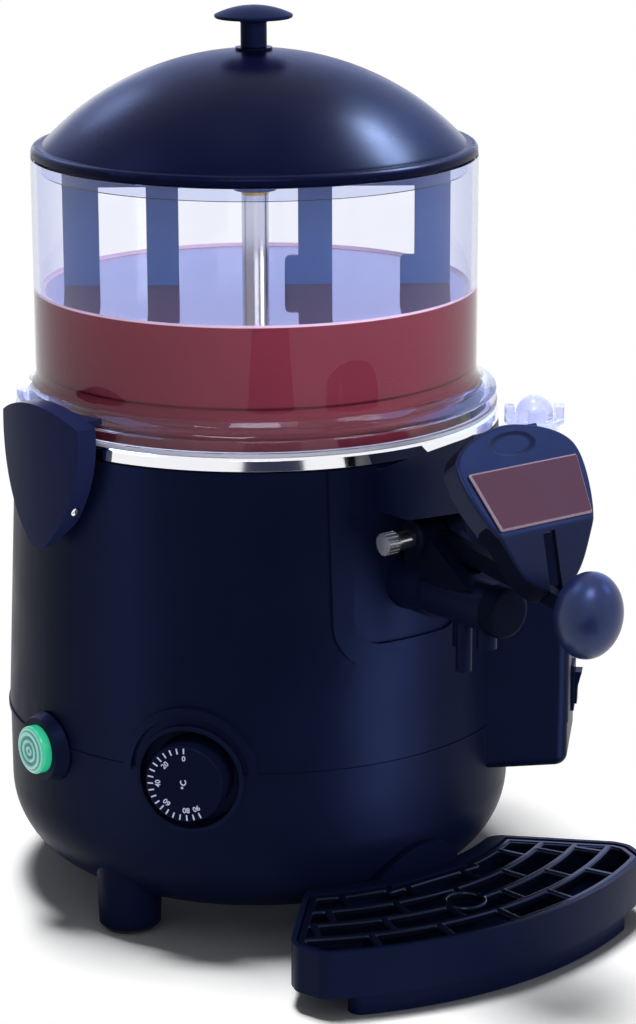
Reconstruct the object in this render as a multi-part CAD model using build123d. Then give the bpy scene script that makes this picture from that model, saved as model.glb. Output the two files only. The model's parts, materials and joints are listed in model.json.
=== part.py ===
from build123d import *
import math
import os

os.makedirs("parts", exist_ok=True)

# Hot chocolate dispenser. Millimetres, +Z up, the tap looks toward -Y.
# Everything is drawn about the upright axis of the machine with the table at z = 0.
# At the end all pieces move together so that the origin is under the middle of the whole machine.

# Body
base_radius = 132.5
base_round = 44.0
underside = 14.0
seam = 96.5
shell_rise = 153.5
shell_taper = 7.0
seam_step = 0.5
lip = 0.6
wall = 3.0

# Free space: touching pieces that move, loose inserts, and round shafts in their bores
clearance = 0.4
running = 0.05

# Legs and pads
leg_inset = 22.5
leg_angles = (-144, -74, 74, 144)
leg_top_radius = 17.5
leg_foot_radius = 16.0
leg_edge = 1.2
pad_radius = 13.0
pad_thickness = 2.5

# Side box with the filler and the rocker
box_angle = 45.0
box_stand = 34.5
box_root_half = 54.0
box_outer_half = 32.4
box_depth = 77.0
box_corner = 8.0
box_drop = 23.5
box_below_shell = 24.0
cap_inset = 22.0
cap_radius = 15.5
cap_rise = 24.0
cap_height = 14.0
grip_dome = 9.7
lug_half = 4.5
lug_depth = 5.0
lug_height = 8.5
lug_turn = 9.0

# Tank, bowl and chimney
bead_height = 8.0
bead_overhang = 0.3
tank_gap = 2.3
tank_sheet = 1.2
gasket_thickness = 1.5
flange_inset = 1.5
flange_lip = 6.5
flange_width = 10.3
flare_height = 13.0
bowl_wall = 3.0
bowl_rise = 108.0
water_jacket = 13.5
well_depth = 87.5
water_gap = 14.0
tube_radius = 7.0
tube_bore = 5.2
tube_below_rim = 21.0
shaft_radius = 4.0

# Lid
dome_rise = 53.0
dome_inset = 7.0
dome_edge_rise = 7.0
lid_wall = 2.5
bead_inset = 0.3
skirt_gap = 2.5
skirt_drop = 7.0
knob_radius = 20.0
knob_stem = 6.7
knob_stem_height = 14.5
knob_height = 21.0

# Stirrer
stirrer_rest = -36.0
blade_thickness = 3.2
left_margin = 4.0
right_margin = 2.5
outer_blade = 18.5
outer_paddle = 25.9
left_blade = (-56.0, -39.5)
right_blade = (22.0, 39.5)
right_paddle = (15.0, 37.0)
paddle_below_rim = 53.0
blade_floor_gap = 11.0

# Tap, measured forward from the base, from its barrel's end or from the lever's pivot
tap_below_shell = 60.0
collar_radius = 14.5
barrel_radius = 12.5
barrel_bore = 9.0
seat_bore = 6.0
outlet_radius = 11.0
outlet_bore = 8.0
collar_length = 17.5
barrel_length = 62.0
end_cap_length = 8.5
end_cap_radius = 13.0
pivot_stand = 13.5
pivot_above_tap = 27.0
pivot_radius = 3.0
boss_radius = 9.0
boss_half = 13.5
cheek_length = 40.0
lever_width = 6.0
spout_setback = 7.5
spout_drop = 21.0
spout_radius = 5.0
spout_bore = 3.6
nozzle_setback = 24.5
nozzle_drop = 37.0
nozzle_radius = 4.0
nozzle_bore = 2.6
plunger_travel = 8.0
lever_length = 113.4
grip_above_tap = 13.0
grip_radius = 16.2
grip_half_height = 21.5
grip_lean = 12.0

# Hood over the tap
hood_stand = 78.4
hood_above_tap = 75.1
hood_tilt = 36.7
hood_half = 37.6
hood_crown = 21.5
hood_length = 61.0
hood_depth = 12.0
hood_wall = 3.0
hood_edge = 1.8
bend_start = 33.0
bend_turn = 24.0
bend_round = 8.0
dish_half = 14.5
dish_rise = 6.2
dish_depth = 1.8
neck_half = 19.5
slot_width = 7.5
slot_start = 34.2
label_top_half = 33.6
label_low_half = 28.2
label_thickness = 1.8
label_height = 30.4

# Latches
latch_stand = 8.5
latch_sheet = 2.6
latch_depth = 10.5
latch_pin_inset = 8.0
latch_pin_radius = 2.5
latch_pin_below = 25.0
latch_half = 32.0
left_latch_turn = 2.5
right_latch_turn = 10.0
hook_overlap = 3.8

# Dial and push-button
dial_angle = -51.5
dial_below_seam = 2.0
dial_radius = 20.5
dial_proud = 8.5
dial_cup_radius = 28.0
arch_radius = 35.0
arch_width = 4.5
arch_proud = 2.2
switch_angle = -90.0
switch_below_seam = 1.5
lens_radius = 12.4
lens_proud = 13.5
bezel_radius = 19.0
button_travel = 2.5

# Rocker
rocker_above_seam = 11.5
rocker_half_width = 4.6
rocker_half_height = 9.0

# Border on the shell round the tap
border_half = 44.5
border_width = 10.5
border_drop = 102.0
border_proud = 1.8

# Drip tray and grille
tray_reach = 79.5
tray_tuck = 4.0
tray_corner = 9.0
root_corner = 10.0
horn_out = 4.5
horn_back = 16.0
side_out = 1.5
side_back = 24.0
tray_height = 34.5
tray_tier = 11.0
foot_step = 3.0
foot_half = 95.0
foot_root = 45.0
foot_run = 56.0
tray_aside = 5.5
tray_forward = 0.9
tray_wall = 2.5
tray_lift = 0.4
shelf_gap = 4.6
grille_thickness = 4.0
bar_width = 4.0
slot_rows = 4
rib_pitch = 37.0
ring_setback = 40.5
ring_radius = 11.5

# Heights and radii that follow from the values above
shell_top = seam + shell_rise
bead_top = shell_top + bead_height
flange_base = bead_top + gasket_thickness
flange_top = flange_base + flange_lip
flare_top = flange_top + flare_height
bowl_top = flare_top + bowl_rise
well_floor = flange_base - well_depth
tank_floor = well_floor - water_gap
tank_under = tank_floor - tank_sheet
tube_top = bowl_top - tube_below_rim
tap_height = shell_top - tap_below_shell
pivot_height = tap_height + pivot_above_tap
latch_pin_height = shell_top - latch_pin_below
dial_height = seam - dial_below_seam
switch_height = seam - switch_below_seam
rocker_height = seam + rocker_above_seam
box_low = seam - box_drop
box_top = shell_top - box_below_shell
cap_base = box_top + cap_rise
leg_circle = base_radius - leg_inset
box_reach = base_radius + box_stand
cap_distance = box_reach - cap_inset
shell_top_radius = base_radius + seam_step - shell_taper
tank_outer = shell_top_radius - wall - tank_gap
tank_radius = tank_outer - tank_sheet
bead_radius = shell_top_radius + bead_overhang
flange_radius = bead_radius - flange_inset
bowl_radius = flange_radius - flange_width
bowl_inner = bowl_radius - bowl_wall
well_radius = tank_radius - water_jacket
well_inner = well_radius - bowl_wall
dome_edge = bowl_radius - dome_inset
bead_bulge = bowl_radius - bead_inset
skirt_radius = bowl_inner - skirt_gap
collar_end = base_radius + collar_length
barrel_end = base_radius + barrel_length
cap_end = barrel_end + end_cap_length
pivot_forward = base_radius + pivot_stand
spout_forward = barrel_end - spout_setback
nozzle_forward = barrel_end - nozzle_setback
grip_forward = pivot_forward + lever_length
hood_forward = base_radius + hood_stand
latch_reach = base_radius + latch_stand
latch_inner = latch_reach - latch_depth
latch_pin_reach = latch_reach - latch_pin_inset
lip_inner = flange_radius - hook_overlap
tray_front = base_radius + tray_reach
tray_back = base_radius - tray_tuck
ring_forward = tray_front - ring_setback

upward = (Align.CENTER, Align.CENTER, Align.MIN)
parts = {}


def turned(outline):
    """Solid turned about Z from a closed outline of (radius, height) corners."""
    corners = [(radius, 0, height) for radius, height in outline]
    return revolve(make_face(Polyline(*corners, close=True).edges()), Axis.Z)


def disc(radius, low, high):
    """Upright cylinder on the machine axis between two heights."""
    return Pos(0, 0, low) * Cylinder(radius, high - low, align=upward)


def collar(outer, inner, low, high):
    """Upright ring on the machine axis between two heights."""
    return disc(outer, low, high) - disc(inner, low - 1, high + 1)


def facing(angle, distance, height):
    """Plane that looks outward at an angle from the front, positive toward +X."""
    turn = math.radians(angle)
    outward = (math.sin(turn), -math.cos(turn), 0)
    across = (math.cos(turn), math.sin(turn), 0)
    middle = (outward[0] * distance, outward[1] * distance, height)
    return Plane(origin=middle, x_dir=across, z_dir=outward)


def bar_out(angle, height, radius, near, far):
    """Level cylinder that points outward, between two distances from the machine axis."""
    return facing(angle, near, height) * Cylinder(radius, far - near, align=upward)


def bar_front(height, radius, near, far):
    """Level cylinder that points to the front."""
    return bar_out(0, height, radius, near, far)


def bar_across(forward, height, radius, left, right):
    """Level cylinder along X at a distance to the front."""
    start = Plane(origin=(left, -forward, height), x_dir=(0, 1, 0), z_dir=(1, 0, 0))
    return start * Cylinder(radius, right - left, align=upward)


def block(x_span, y_span, z_span):
    """Box given by its lowest and highest x, y and z."""
    size = [span[1] - span[0] for span in (x_span, y_span, z_span)]
    middle = [(span[1] + span[0]) / 2 for span in (x_span, y_span, z_span)]
    return Pos(*middle) * Box(*size)


def side_plate(corners, half):
    """Plate across X from (forward, height) corners, reaching half to either side."""
    points = [(-half, -forward, height) for forward, height in corners]
    face = make_face(Polyline(*points, close=True).edges())
    return extrude(face, amount=2 * half, dir=(1, 0, 0))


def base_body(grow, top):
    """Rounded base as a full solid, its surface moved outward by grow."""
    corner = base_radius - base_round
    level = underside + base_round
    reach = base_round + grow
    low = level - reach
    middle = (corner + reach * math.sqrt(0.5), 0, level - reach * math.sqrt(0.5))
    path = [
        Line((0, 0, low), (corner, 0, low)),
        ThreePointArc((corner, 0, low), middle, (corner + reach, 0, level)),
        Line((corner + reach, 0, level), (corner + reach, 0, top)),
        Line((corner + reach, 0, top), (0, 0, top)),
        Line((0, 0, top), (0, 0, low)),
    ]
    return revolve(make_face(path), Axis.Z)


def shell_radius(height):
    """Outer radius of the tapered upper shell at a height."""
    return base_radius + seam_step - shell_taper * (height - seam) / shell_rise


def shell_body(grow, low, high):
    """Upper shell as a full solid, its surface moved outward by grow."""
    low_radius = shell_radius(low) + grow
    high_radius = shell_radius(high) + grow
    return turned([(0, low), (low_radius, low), (high_radius, high), (0, high)])


def box_body(inset, low, high):
    """Side box as a full solid, its walls moved inward by inset."""
    root = box_reach - box_depth
    corners = [
        (-box_root_half + inset, -root),
        (-box_outer_half + inset, -box_reach + inset),
        (box_outer_half - inset, -box_reach + inset),
        (box_root_half - inset, -root),
    ]
    plan = make_face(Polyline(*corners, close=True).edges())
    plan = fillet(plan.vertices().group_by(Axis.Y)[0], box_corner - inset)
    return Rot(0, 0, box_angle) * extrude(Pos(0, 0, low) * plan, amount=high - low, dir=(0, 0, 1))


# Base with legs, bottom plate, pads
lower_box = box_body(seam_step, box_low, seam)
lower_box = fillet(lower_box.edges().group_by(Axis.Z)[0], box_corner - 2)
base_shell = base_body(0, seam) + lower_box
base_shell -= base_body(-wall, seam + 1)
base_shell -= box_body(wall + seam_step, box_low + wall, seam + 1)
opening_radius = base_radius - base_round - 18
plate_radius = opening_radius + 10
plate_thickness = 2.5
base_shell -= disc(opening_radius, underside - 1, underside + wall + 1)
bottom_plate = disc(plate_radius, underside - plate_thickness, underside)
screw_radius = 1.9
screw_head = 4.0
bottom_screws = []
for angle in range(45, 405, 90):
    spot = Rot(0, 0, angle) * Pos(opening_radius + 5, 0, 0)
    hole = spot * disc(screw_radius, underside - plate_thickness - 1, underside + wall + 1)
    base_shell -= hole
    bottom_plate -= hole
    shank = disc(screw_radius, underside - plate_thickness, underside + wall)
    head = disc(screw_head, underside - plate_thickness - 2.2, underside - plate_thickness)
    bottom_screws.append(spot * (shank + head))
leg_top = underside + base_round
legs = []
foot_pads = []
for angle in leg_angles:
    spot = Rot(0, 0, angle) * Pos(0, -leg_circle, 0)
    leg = Cone(leg_foot_radius, leg_top_radius, leg_top - pad_thickness, align=upward)
    leg = fillet(leg.edges().group_by(Axis.Z)[0], leg_edge)
    legs.append(spot * Pos(0, 0, pad_thickness) * leg - base_body(0, seam))
    foot_pads.append(spot * disc(pad_radius, 0, pad_thickness))

# Holes that cross the seam: dial recess and push-button
dial_hole = bar_out(dial_angle, dial_height, dial_cup_radius, base_radius - 25, base_radius + 25)
switch_hole_radius = lens_radius + 2.6
switch_hole = bar_out(switch_angle, switch_height, switch_hole_radius, base_radius - 25, base_radius + 25)
gland_height = underside + base_round + 14
gland_neck = 7.0
base_shell -= dial_hole
base_shell -= switch_hole
base_shell -= bar_out(180, gland_height, gland_neck, base_radius - 20, base_radius + 20)

# Upper shell with lip, U border, dial arch and the upper half of the side box
upper_box = box_body(0, seam, box_top)
upper_box = fillet(upper_box.edges().group_by(Axis.Z)[-1], 2.5)
upper_shell = shell_body(0, seam, shell_top) + upper_box
upper_shell += disc(shell_radius(seam) + lip, seam, seam + 2)
border_band = shell_body(border_proud, shell_top - border_drop - 10, shell_top)
border_low = shell_top - border_drop
border_inner = border_half - border_width
outer_corners = [(-border_half, border_low), (border_half, border_low),
                 (border_half, shell_top + 9), (-border_half, shell_top + 9)]
outer_u = make_face(Polyline(*outer_corners, close=True).edges())
outer_u = fillet(outer_u.vertices().group_by(Axis.Y)[0], border_half * 0.55)
inner_low = border_low + border_width + 2
inner_corners = [(-border_inner, inner_low), (border_inner, inner_low),
                 (border_inner, shell_top + 19), (-border_inner, shell_top + 19)]
inner_u = make_face(Polyline(*inner_corners, close=True).edges())
inner_u = fillet(inner_u.vertices().group_by(Axis.Y)[0], border_inner * 0.45)
border_prism = extrude(outer_u - inner_u, amount=60, dir=(0, 0, 1))
border_prism = facing(0, base_radius - 45, 0).location * border_prism
upper_shell += border_band & border_prism
arch_face = Circle(arch_radius) - Circle(arch_radius - arch_width)
arch_face = arch_face & Pos(0, arch_radius, 0) * Rectangle(arch_radius * 3, arch_radius * 2)
arch_prism = extrude(arch_face, amount=45, dir=(0, 0, 1))
arch_prism = facing(dial_angle, base_radius - 25, seam).location * arch_prism
arch_band = shell_body(arch_proud, seam, seam + arch_radius + 5)
upper_shell += arch_band & arch_prism
inner_low_radius = shell_radius(seam) - wall
inner_top_radius = shell_top_radius - wall
upper_shell -= turned([(0, seam - 1), (inner_low_radius, seam - 1), (inner_low_radius, seam),
                       (inner_top_radius, shell_top), (inner_top_radius, shell_top + 1), (0, shell_top + 1)])
upper_shell -= box_body(wall, seam - 1, box_top - wall)
upper_shell -= dial_hole
upper_shell -= switch_hole
upper_shell -= bar_front(tap_height, collar_radius + 0.5, base_radius - 30, base_radius + 20)
filler_hole_radius = cap_radius - 3
at_filler = Rot(0, 0, box_angle) * Pos(0, -cap_distance, 0)
upper_shell -= at_filler * disc(filler_hole_radius, box_top - 10, box_top + 9)
rocker_plane = facing(box_angle, box_reach, rocker_height)
rocker_hole = rocker_plane.location * Box(2 * rocker_half_width + 3, 2 * rocker_half_height + 4.4, 12)
upper_shell -= rocker_hole
hood_screw_x = neck_half - 7
hood_screw_height = tap_height + 48
for x in (-hood_screw_x, hood_screw_x):
    screw_hole = bar_front(hood_screw_height, screw_radius, base_radius - 30, base_radius + 10)
    upper_shell -= Pos(x, 0, 0) * screw_hole

# Tank with rolled rim, gasket, heating element
tank = turned([
    (0, tank_under), (tank_outer, tank_under), (tank_outer, shell_top), (bead_radius - 1.2, shell_top),
    (bead_radius, shell_top + 1.2), (bead_radius, bead_top - 1.6), (bead_radius - 1.6, bead_top),
    (tank_radius, bead_top), (tank_radius, tank_floor), (0, tank_floor)])
grommet_radius = outlet_radius + 2
tank -= disc(tube_radius, tank_under - 1, tank_floor + 1)
tank -= bar_front(tap_height, grommet_radius, tank_radius - 15, tank_radius + 15)
pipe_radius = 7.0
pipe_height = box_top - 30
tank -= bar_out(box_angle, pipe_height, pipe_radius, tank_radius - 15, tank_radius + 15)
bowl_gasket = collar(flange_radius + 0.5, tank_radius + 0.5, bead_top, flange_base)
element_circle = well_radius - 24
element_rod = 4.0
element_height = tank_floor + 7
element_gap = 17.0
half_gap = math.degrees(element_gap / element_circle)
rod_face = Plane.XZ * Pos(element_circle, element_height) * Circle(element_rod)
heating_element = revolve(rod_face, Axis.Z, revolution_arc=360 - 2 * half_gap)
heating_element = Rot(0, 0, 90 + half_gap) * heating_element
terminal_low = tank_under - 12
terminal_radius = element_rod + 0.8
for angle in (90 - half_gap, 90 + half_gap):
    spot = Rot(0, 0, angle) * Pos(element_circle, 0, 0)
    heating_element += spot * disc(terminal_radius, terminal_low, element_height + terminal_radius)
    heating_element += spot * disc(terminal_radius + 3, tank_floor, tank_floor + 2)
    tank -= spot * disc(terminal_radius, tank_under - 1, tank_floor + 1)

# Clear bowl: wall, foot flange, well inside the tank, outlet stub toward the tap
step_low = flare_top - 2.5
well_round = 8.0
outlet_end = shell_radius(tap_height) - 0.7
flare_middle = (bowl_radius + 0.29 * (flange_radius - bowl_radius), 0, flange_top + 0.29 * flare_height)
bowl_path = [
    Line((0, 0, well_floor), (well_radius - well_round, 0, well_floor)),
    Line((well_radius - well_round, 0, well_floor), (well_radius, 0, well_floor + well_round)),
    Line((well_radius, 0, well_floor + well_round), (well_radius, 0, flare_top - 7)),
    Line((well_radius, 0, flare_top - 7), (well_radius + 5, 0, flare_top - 7)),
    Line((well_radius + 5, 0, flare_top - 7), (flange_radius - bowl_wall, 0, flange_top - 1.5)),
    Line((flange_radius - bowl_wall, 0, flange_top - 1.5), (flange_radius - bowl_wall, 0, flange_base)),
    Line((flange_radius - bowl_wall, 0, flange_base), (flange_radius, 0, flange_base)),
    Line((flange_radius, 0, flange_base), (flange_radius, 0, flange_top)),
    ThreePointArc((flange_radius, 0, flange_top), flare_middle, (bowl_radius, 0, flare_top)),
    Line((bowl_radius, 0, flare_top), (bowl_radius, 0, bowl_top)),
    Line((bowl_radius, 0, bowl_top), (bowl_inner, 0, bowl_top)),
    Line((bowl_inner, 0, bowl_top), (bowl_inner, 0, flare_top + 4.5)),
    Line((bowl_inner, 0, flare_top + 4.5), (bowl_inner - 2, 0, flare_top)),
    Line((bowl_inner - 2, 0, flare_top), (well_inner, 0, step_low)),
    Line((well_inner, 0, step_low), (well_inner, 0, well_floor + bowl_wall + 6)),
    Line((well_inner, 0, well_floor + bowl_wall + 6), (well_inner - 6, 0, well_floor + bowl_wall)),
    Line((well_inner - 6, 0, well_floor + bowl_wall), (0, 0, well_floor + bowl_wall)),
    Line((0, 0, well_floor + bowl_wall), (0, 0, well_floor)),
]
bowl = revolve(make_face(bowl_path), Axis.Z)
seal_radius = tube_radius + 2.5
outlet_stub = bar_front(tap_height, outlet_radius, well_inner + 1, outlet_end)
bowl += outlet_stub - disc(well_inner + 0.5, well_floor, flange_base)
bowl -= bar_front(tap_height, outlet_bore, well_inner - 10, outlet_end + 5)
bowl -= disc(seal_radius, well_floor - 1, well_floor + bowl_wall + 1)
outlet_grommet = bar_front(tap_height, grommet_radius, tank_radius - 2, tank_outer + 3.3)
outlet_grommet += bar_front(tap_height, grommet_radius + 3, tank_outer + 0.3, tank_outer + 3.3)
outlet_grommet -= bar_front(tap_height, outlet_radius, tank_radius - 20, tank_outer + 20)

# Chimney tube through tank and bowl, its nut and seal, and the shaft inside it
nut_height = 6.0
tube_low = tank_under - nut_height - 1
chimney_tube = disc(tube_radius, tube_low, tube_top) + disc(tube_radius + 5, tank_floor, tank_floor + 3)
chimney_tube -= disc(tube_bore, tube_low - 1, tube_top + 1)
nut_face = RegularPolygon(tube_radius + 6, 6) - Circle(tube_radius)
tube_nut = extrude(Pos(0, 0, tank_under - nut_height) * nut_face, amount=nut_height, dir=(0, 0, 1))
bowl_seal = disc(seal_radius, well_floor, well_floor + bowl_wall + 2.5)
bowl_seal += disc(seal_radius + 4, well_floor + bowl_wall, well_floor + bowl_wall + 2.5)
bowl_seal -= disc(tube_radius, well_floor - 1, well_floor + bowl_wall + 9)
bush_length = 14.0
shaft_bushes = []
bush_top = disc(tube_bore, tube_top - bush_length, tube_top) + disc(tube_radius, tube_top, tube_top + 1.5)
shaft_bushes.append(bush_top - disc(shaft_radius + running, tube_top - 99, tube_top + 9))
shaft_bushes.append(collar(tube_bore, shaft_radius + running, tube_low, tube_low + bush_length))

# Gear motor under the tank
post_length = 29.0
bracket_thickness = 3.0
bracket_top = tank_under - post_length
gearbox_top = bracket_top - bracket_thickness
gearbox_height = 34.0
motor_length = 54.0
bracket_half = 44.0
post_spot = 36.0
output_radius = 5.0
bracket_span = (-bracket_half, bracket_half)
motor_bracket = block(bracket_span, bracket_span, (gearbox_top, bracket_top))
motor_bracket -= disc(output_radius + 4, gearbox_top - 1, bracket_top + 1)
bracket_posts = []
for x in (-post_spot, post_spot):
    for y in (-post_spot, post_spot):
        bracket_posts.append(Pos(x, y, 0) * disc(5, bracket_top, tank_under))
gearbox = block((-31, 31), (-31, 31), (gearbox_top - gearbox_height, gearbox_top))
gearbox -= disc(output_radius + running, gearbox_top - 22, gearbox_top + 1)
gear_motor = disc(28, gearbox_top - gearbox_height - motor_length, gearbox_top - gearbox_height)
gear_motor += disc(10, gearbox_top - gearbox_height - motor_length - 5, gearbox_top - gearbox_height)
coupling_low = bracket_top + 1
coupling_top = tube_low - 1.5
coupling_middle = (coupling_low + coupling_top) / 2
output_shaft = disc(output_radius, gearbox_top - 21, coupling_middle)
hub_low = tube_top + 2.3
hub_top = hub_low + 15.5
drive_shaft = disc(shaft_radius, coupling_middle, hub_top + 4)
shaft_coupling = disc(output_radius + 4.5, coupling_low, coupling_top)
shaft_coupling -= output_shaft
shaft_coupling -= drive_shaft

# Stirrer: hub, cross-arm and four hanging blades
arm_low = hub_low + 2
arm_top = arm_low + 8
left_end = -well_inner + left_margin
right_end = well_inner - right_margin
left_outer = (left_end, left_end + outer_blade)
blade_spans = (left_outer, left_blade, right_blade, (right_end - outer_blade, right_end))
paddle_spans = (left_outer, left_blade, right_paddle, (right_end - outer_paddle, right_end))
stirrer = disc(11, hub_low, hub_top)
stirrer += block((left_end, right_end), (-3, 3), (arm_low, arm_top))
blade_low = well_floor + bowl_wall + blade_floor_gap
paddle_top = bowl_top - paddle_below_rim
half_blade = blade_thickness / 2
for span, paddle in zip(blade_spans, paddle_spans):
    stirrer += block(span, (-half_blade, half_blade), (blade_low, arm_top))
    paddle_block = block(paddle, (-half_blade, half_blade), (blade_low, paddle_top))
    corners = paddle_block.edges().filter_by(Axis.Y)
    stirrer += fillet(corners, 3)
stirrer -= disc(shaft_radius, hub_low - 1, hub_top + 1)
stirrer = Rot(0, 0, stirrer_rest) * stirrer
stirrer_cap = disc(9, hub_top, hub_top + 9)
stirrer_cap = fillet(stirrer_cap.edges().group_by(Axis.Z)[-1], 5)
stirrer_cap -= disc(shaft_radius, hub_top - 1, hub_top + 4)

# Lid: dome, rim bead, inner skirt, knob and screw
crown = bowl_top + dome_rise
edge_height = bowl_top + dome_edge_rise
sag = crown - edge_height
dome_radius = (dome_edge * dome_edge + sag * sag) / (2 * sag)
dome_middle = crown - dome_radius


def dome_point(radius, inset):
    """Point of the dome, moved inward by inset, at a distance from the axis."""
    reach = dome_radius - inset
    return (radius, 0, dome_middle + math.sqrt(reach * reach - radius * radius))


boss = knob_stem + 2.8
boss_top = crown + 1
skirt_inner = skirt_radius - lid_wall
bead_low = bowl_top + 1.2
bead_mid = bowl_top + 3.2
bead_up = bowl_top + 5.8
bead_shoulder = (bead_bulge - 0.9, 0, bead_up - 0.9)
inner_middle = dome_point(dome_edge * 0.6, lid_wall)
lid_path = [
    Line((boss, 0, boss_top), dome_point(boss, 0)),
    ThreePointArc(dome_point(boss, 0), dome_point(dome_edge * 0.6, 0), dome_point(dome_edge, 0)),
    Line(dome_point(dome_edge, 0), (dome_edge + 0.8, 0, bead_up)),
    Line((dome_edge + 0.8, 0, bead_up), (dome_edge + 3, 0, bead_up)),
    ThreePointArc((dome_edge + 3, 0, bead_up), bead_shoulder, (bead_bulge, 0, bead_mid)),
    Line((bead_bulge, 0, bead_mid), (bead_bulge, 0, bead_low)),
    Line((bead_bulge, 0, bead_low), (bead_bulge - 1, 0, bowl_top)),
    Line((bead_bulge - 1, 0, bowl_top), (skirt_radius, 0, bowl_top)),
    Line((skirt_radius, 0, bowl_top), (skirt_radius, 0, bowl_top - skirt_drop)),
    Line((skirt_radius, 0, bowl_top - skirt_drop), (skirt_inner, 0, bowl_top - skirt_drop)),
    Line((skirt_inner, 0, bowl_top - skirt_drop), dome_point(skirt_inner, lid_wall)),
    ThreePointArc(dome_point(skirt_inner, lid_wall), inner_middle, dome_point(0, lid_wall)),
    Line(dome_point(0, lid_wall), (0, 0, boss_top)),
    Line((0, 0, boss_top), (boss, 0, boss_top)),
]
lid_screw_radius = 2.0
screw_tip = boss_top + knob_stem_height - 3
lid_dome = revolve(make_face(lid_path), Axis.Z) - disc(lid_screw_radius, crown - 9, crown + 9)
knob_under = boss_top + knob_stem_height
knob_top = boss_top + knob_height
knob_shoulder = knob_under + 1.8
cap_sag = knob_top - knob_shoulder
cap_sphere = (knob_radius * knob_radius + cap_sag * cap_sag) / (2 * cap_sag)
cap_half = knob_radius / 2
cap_rise = math.sqrt(cap_sphere * cap_sphere - cap_half * cap_half) - cap_sphere
cap_middle = (cap_half, 0, knob_top + cap_rise)
knob_path = [
    Line((0, 0, boss_top), (knob_stem, 0, boss_top)),
    Line((knob_stem, 0, boss_top), (knob_stem, 0, knob_under - 2)),
    Line((knob_stem, 0, knob_under - 2), (knob_stem + 3, 0, knob_under)),
    Line((knob_stem + 3, 0, knob_under), (knob_radius - 0.8, 0, knob_under)),
    Line((knob_radius - 0.8, 0, knob_under), (knob_radius, 0, knob_under + 0.8)),
    Line((knob_radius, 0, knob_under + 0.8), (knob_radius, 0, knob_shoulder)),
    ThreePointArc((knob_radius, 0, knob_shoulder), cap_middle, (0, 0, knob_top)),
    Line((0, 0, knob_top), (0, 0, boss_top)),
]
lid_knob = revolve(make_face(knob_path), Axis.Z) - disc(lid_screw_radius, boss_top - 1, screw_tip)
lid_inner_crown = crown - lid_wall
lid_screw = disc(lid_screw_radius, lid_inner_crown, screw_tip - 0.5)
lid_screw += disc(5, lid_inner_crown - 2.6, lid_inner_crown - 0.1)
lid_screw += disc(lid_screw_radius, lid_inner_crown - 1, lid_inner_crown + 1)

# Tap body: collar over the bowl outlet, barrel, pivot boss with cheeks, spout and nozzle
tap_rear = tank_outer + 3.8
seat_start = outlet_end + gasket_thickness
seat_end = seat_start + 2.5
slot_half = lever_width / 2 + clearance
tap_gasket = bar_front(tap_height, outlet_radius, outlet_end, seat_start)
tap_gasket -= bar_front(tap_height, outlet_bore, outlet_end - 1, seat_start + 1)
tap_body = bar_front(tap_height, collar_radius, tap_rear, collar_end)
tap_body += bar_front(tap_height, barrel_radius, tap_rear, barrel_end)
tap_body += bar_across(pivot_forward, pivot_height, boss_radius, -boss_half, boss_half)
web_half = boss_half - 2.5
web_back = -pivot_forward + boss_radius
web_front = -pivot_forward - boss_radius
tap_body += block((-web_half, web_half), (web_front, web_back), (tap_height, pivot_height))
cheek_front = pivot_forward + cheek_length
cheeks = [(pivot_forward, pivot_height + boss_radius - 1), (cheek_front, tap_height + barrel_radius - 3),
          (pivot_forward, tap_height)]
tap_body += side_plate(cheeks, web_half)
tap_body += Pos(0, -spout_forward, 0) * disc(spout_radius, tap_height - spout_drop, tap_height)
tap_body += Pos(0, -nozzle_forward, 0) * disc(nozzle_radius, tap_height - nozzle_drop, tap_height)
fin_back = -nozzle_forward + nozzle_radius + 3.5
tap_body += block((-1.2, 1.2), (-nozzle_forward, fin_back), (tap_height - nozzle_drop * 0.7, tap_height))
tap_body -= bar_front(tap_height, outlet_radius, tap_rear - 1, seat_start)
tap_body -= bar_front(tap_height, seat_bore, seat_start - 1, seat_end + 1)
tap_body -= bar_front(tap_height, barrel_bore, seat_end, barrel_end + 1)
tap_body -= Pos(0, -spout_forward, 0) * disc(spout_bore, tap_height - spout_drop - 1, tap_height)
tap_body -= Pos(0, -nozzle_forward, 0) * disc(nozzle_bore, tap_height - nozzle_drop - 1, tap_height)
boss_peak = pivot_height + boss_radius + 1
hub_floor = tap_height + collar_radius - 0.5
tap_body -= block((-slot_half, slot_half), (-cheek_front - 1, web_back + 1), (hub_floor, boss_peak))
finger_half = 2.0
finger_front = -pivot_forward - finger_half - plunger_travel - 2
finger_back = -pivot_forward + finger_half + 1
tap_body -= block((-slot_half, slot_half), (finger_front, finger_back), (tap_height, boss_peak))
tap_body -= bar_across(pivot_forward, pivot_height, pivot_radius, -boss_half - 1, boss_half + 1)

# Plunger with yoke, its seal, return spring at its pressed length, and the end cap
rod_radius = 5.0
seal_length = 3.2
seal_face = seat_end + 0.3
yoke_half = finger_half + 6.5
yoke_slot = finger_half + 2.4
plug_length = 5.0
spring_length = 11.5
spring_end = barrel_end - plug_length
shoulder_front = spring_end - spring_length - plunger_travel - clearance
plunger = bar_front(tap_height, seat_bore / 2, seal_face, pivot_forward)
plunger += bar_front(tap_height, seat_bore + 0.5, seal_face + seal_length, pivot_forward - yoke_half)
yoke_reach = (-pivot_forward - yoke_half, -pivot_forward + yoke_half)
plunger += block((-5, 5), yoke_reach, (tap_height - 6, tap_height + 6))
plunger += bar_front(tap_height, rod_radius, pivot_forward, barrel_end - 3)
plunger += bar_front(tap_height, barrel_bore - 0.7, shoulder_front - 3, shoulder_front)
finger_width = lever_width / 2 - 1.1
finger_tip = tap_height - 2
yoke_span = (-pivot_forward - yoke_slot, -pivot_forward + yoke_slot)
yoke_room = finger_width + clearance
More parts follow.
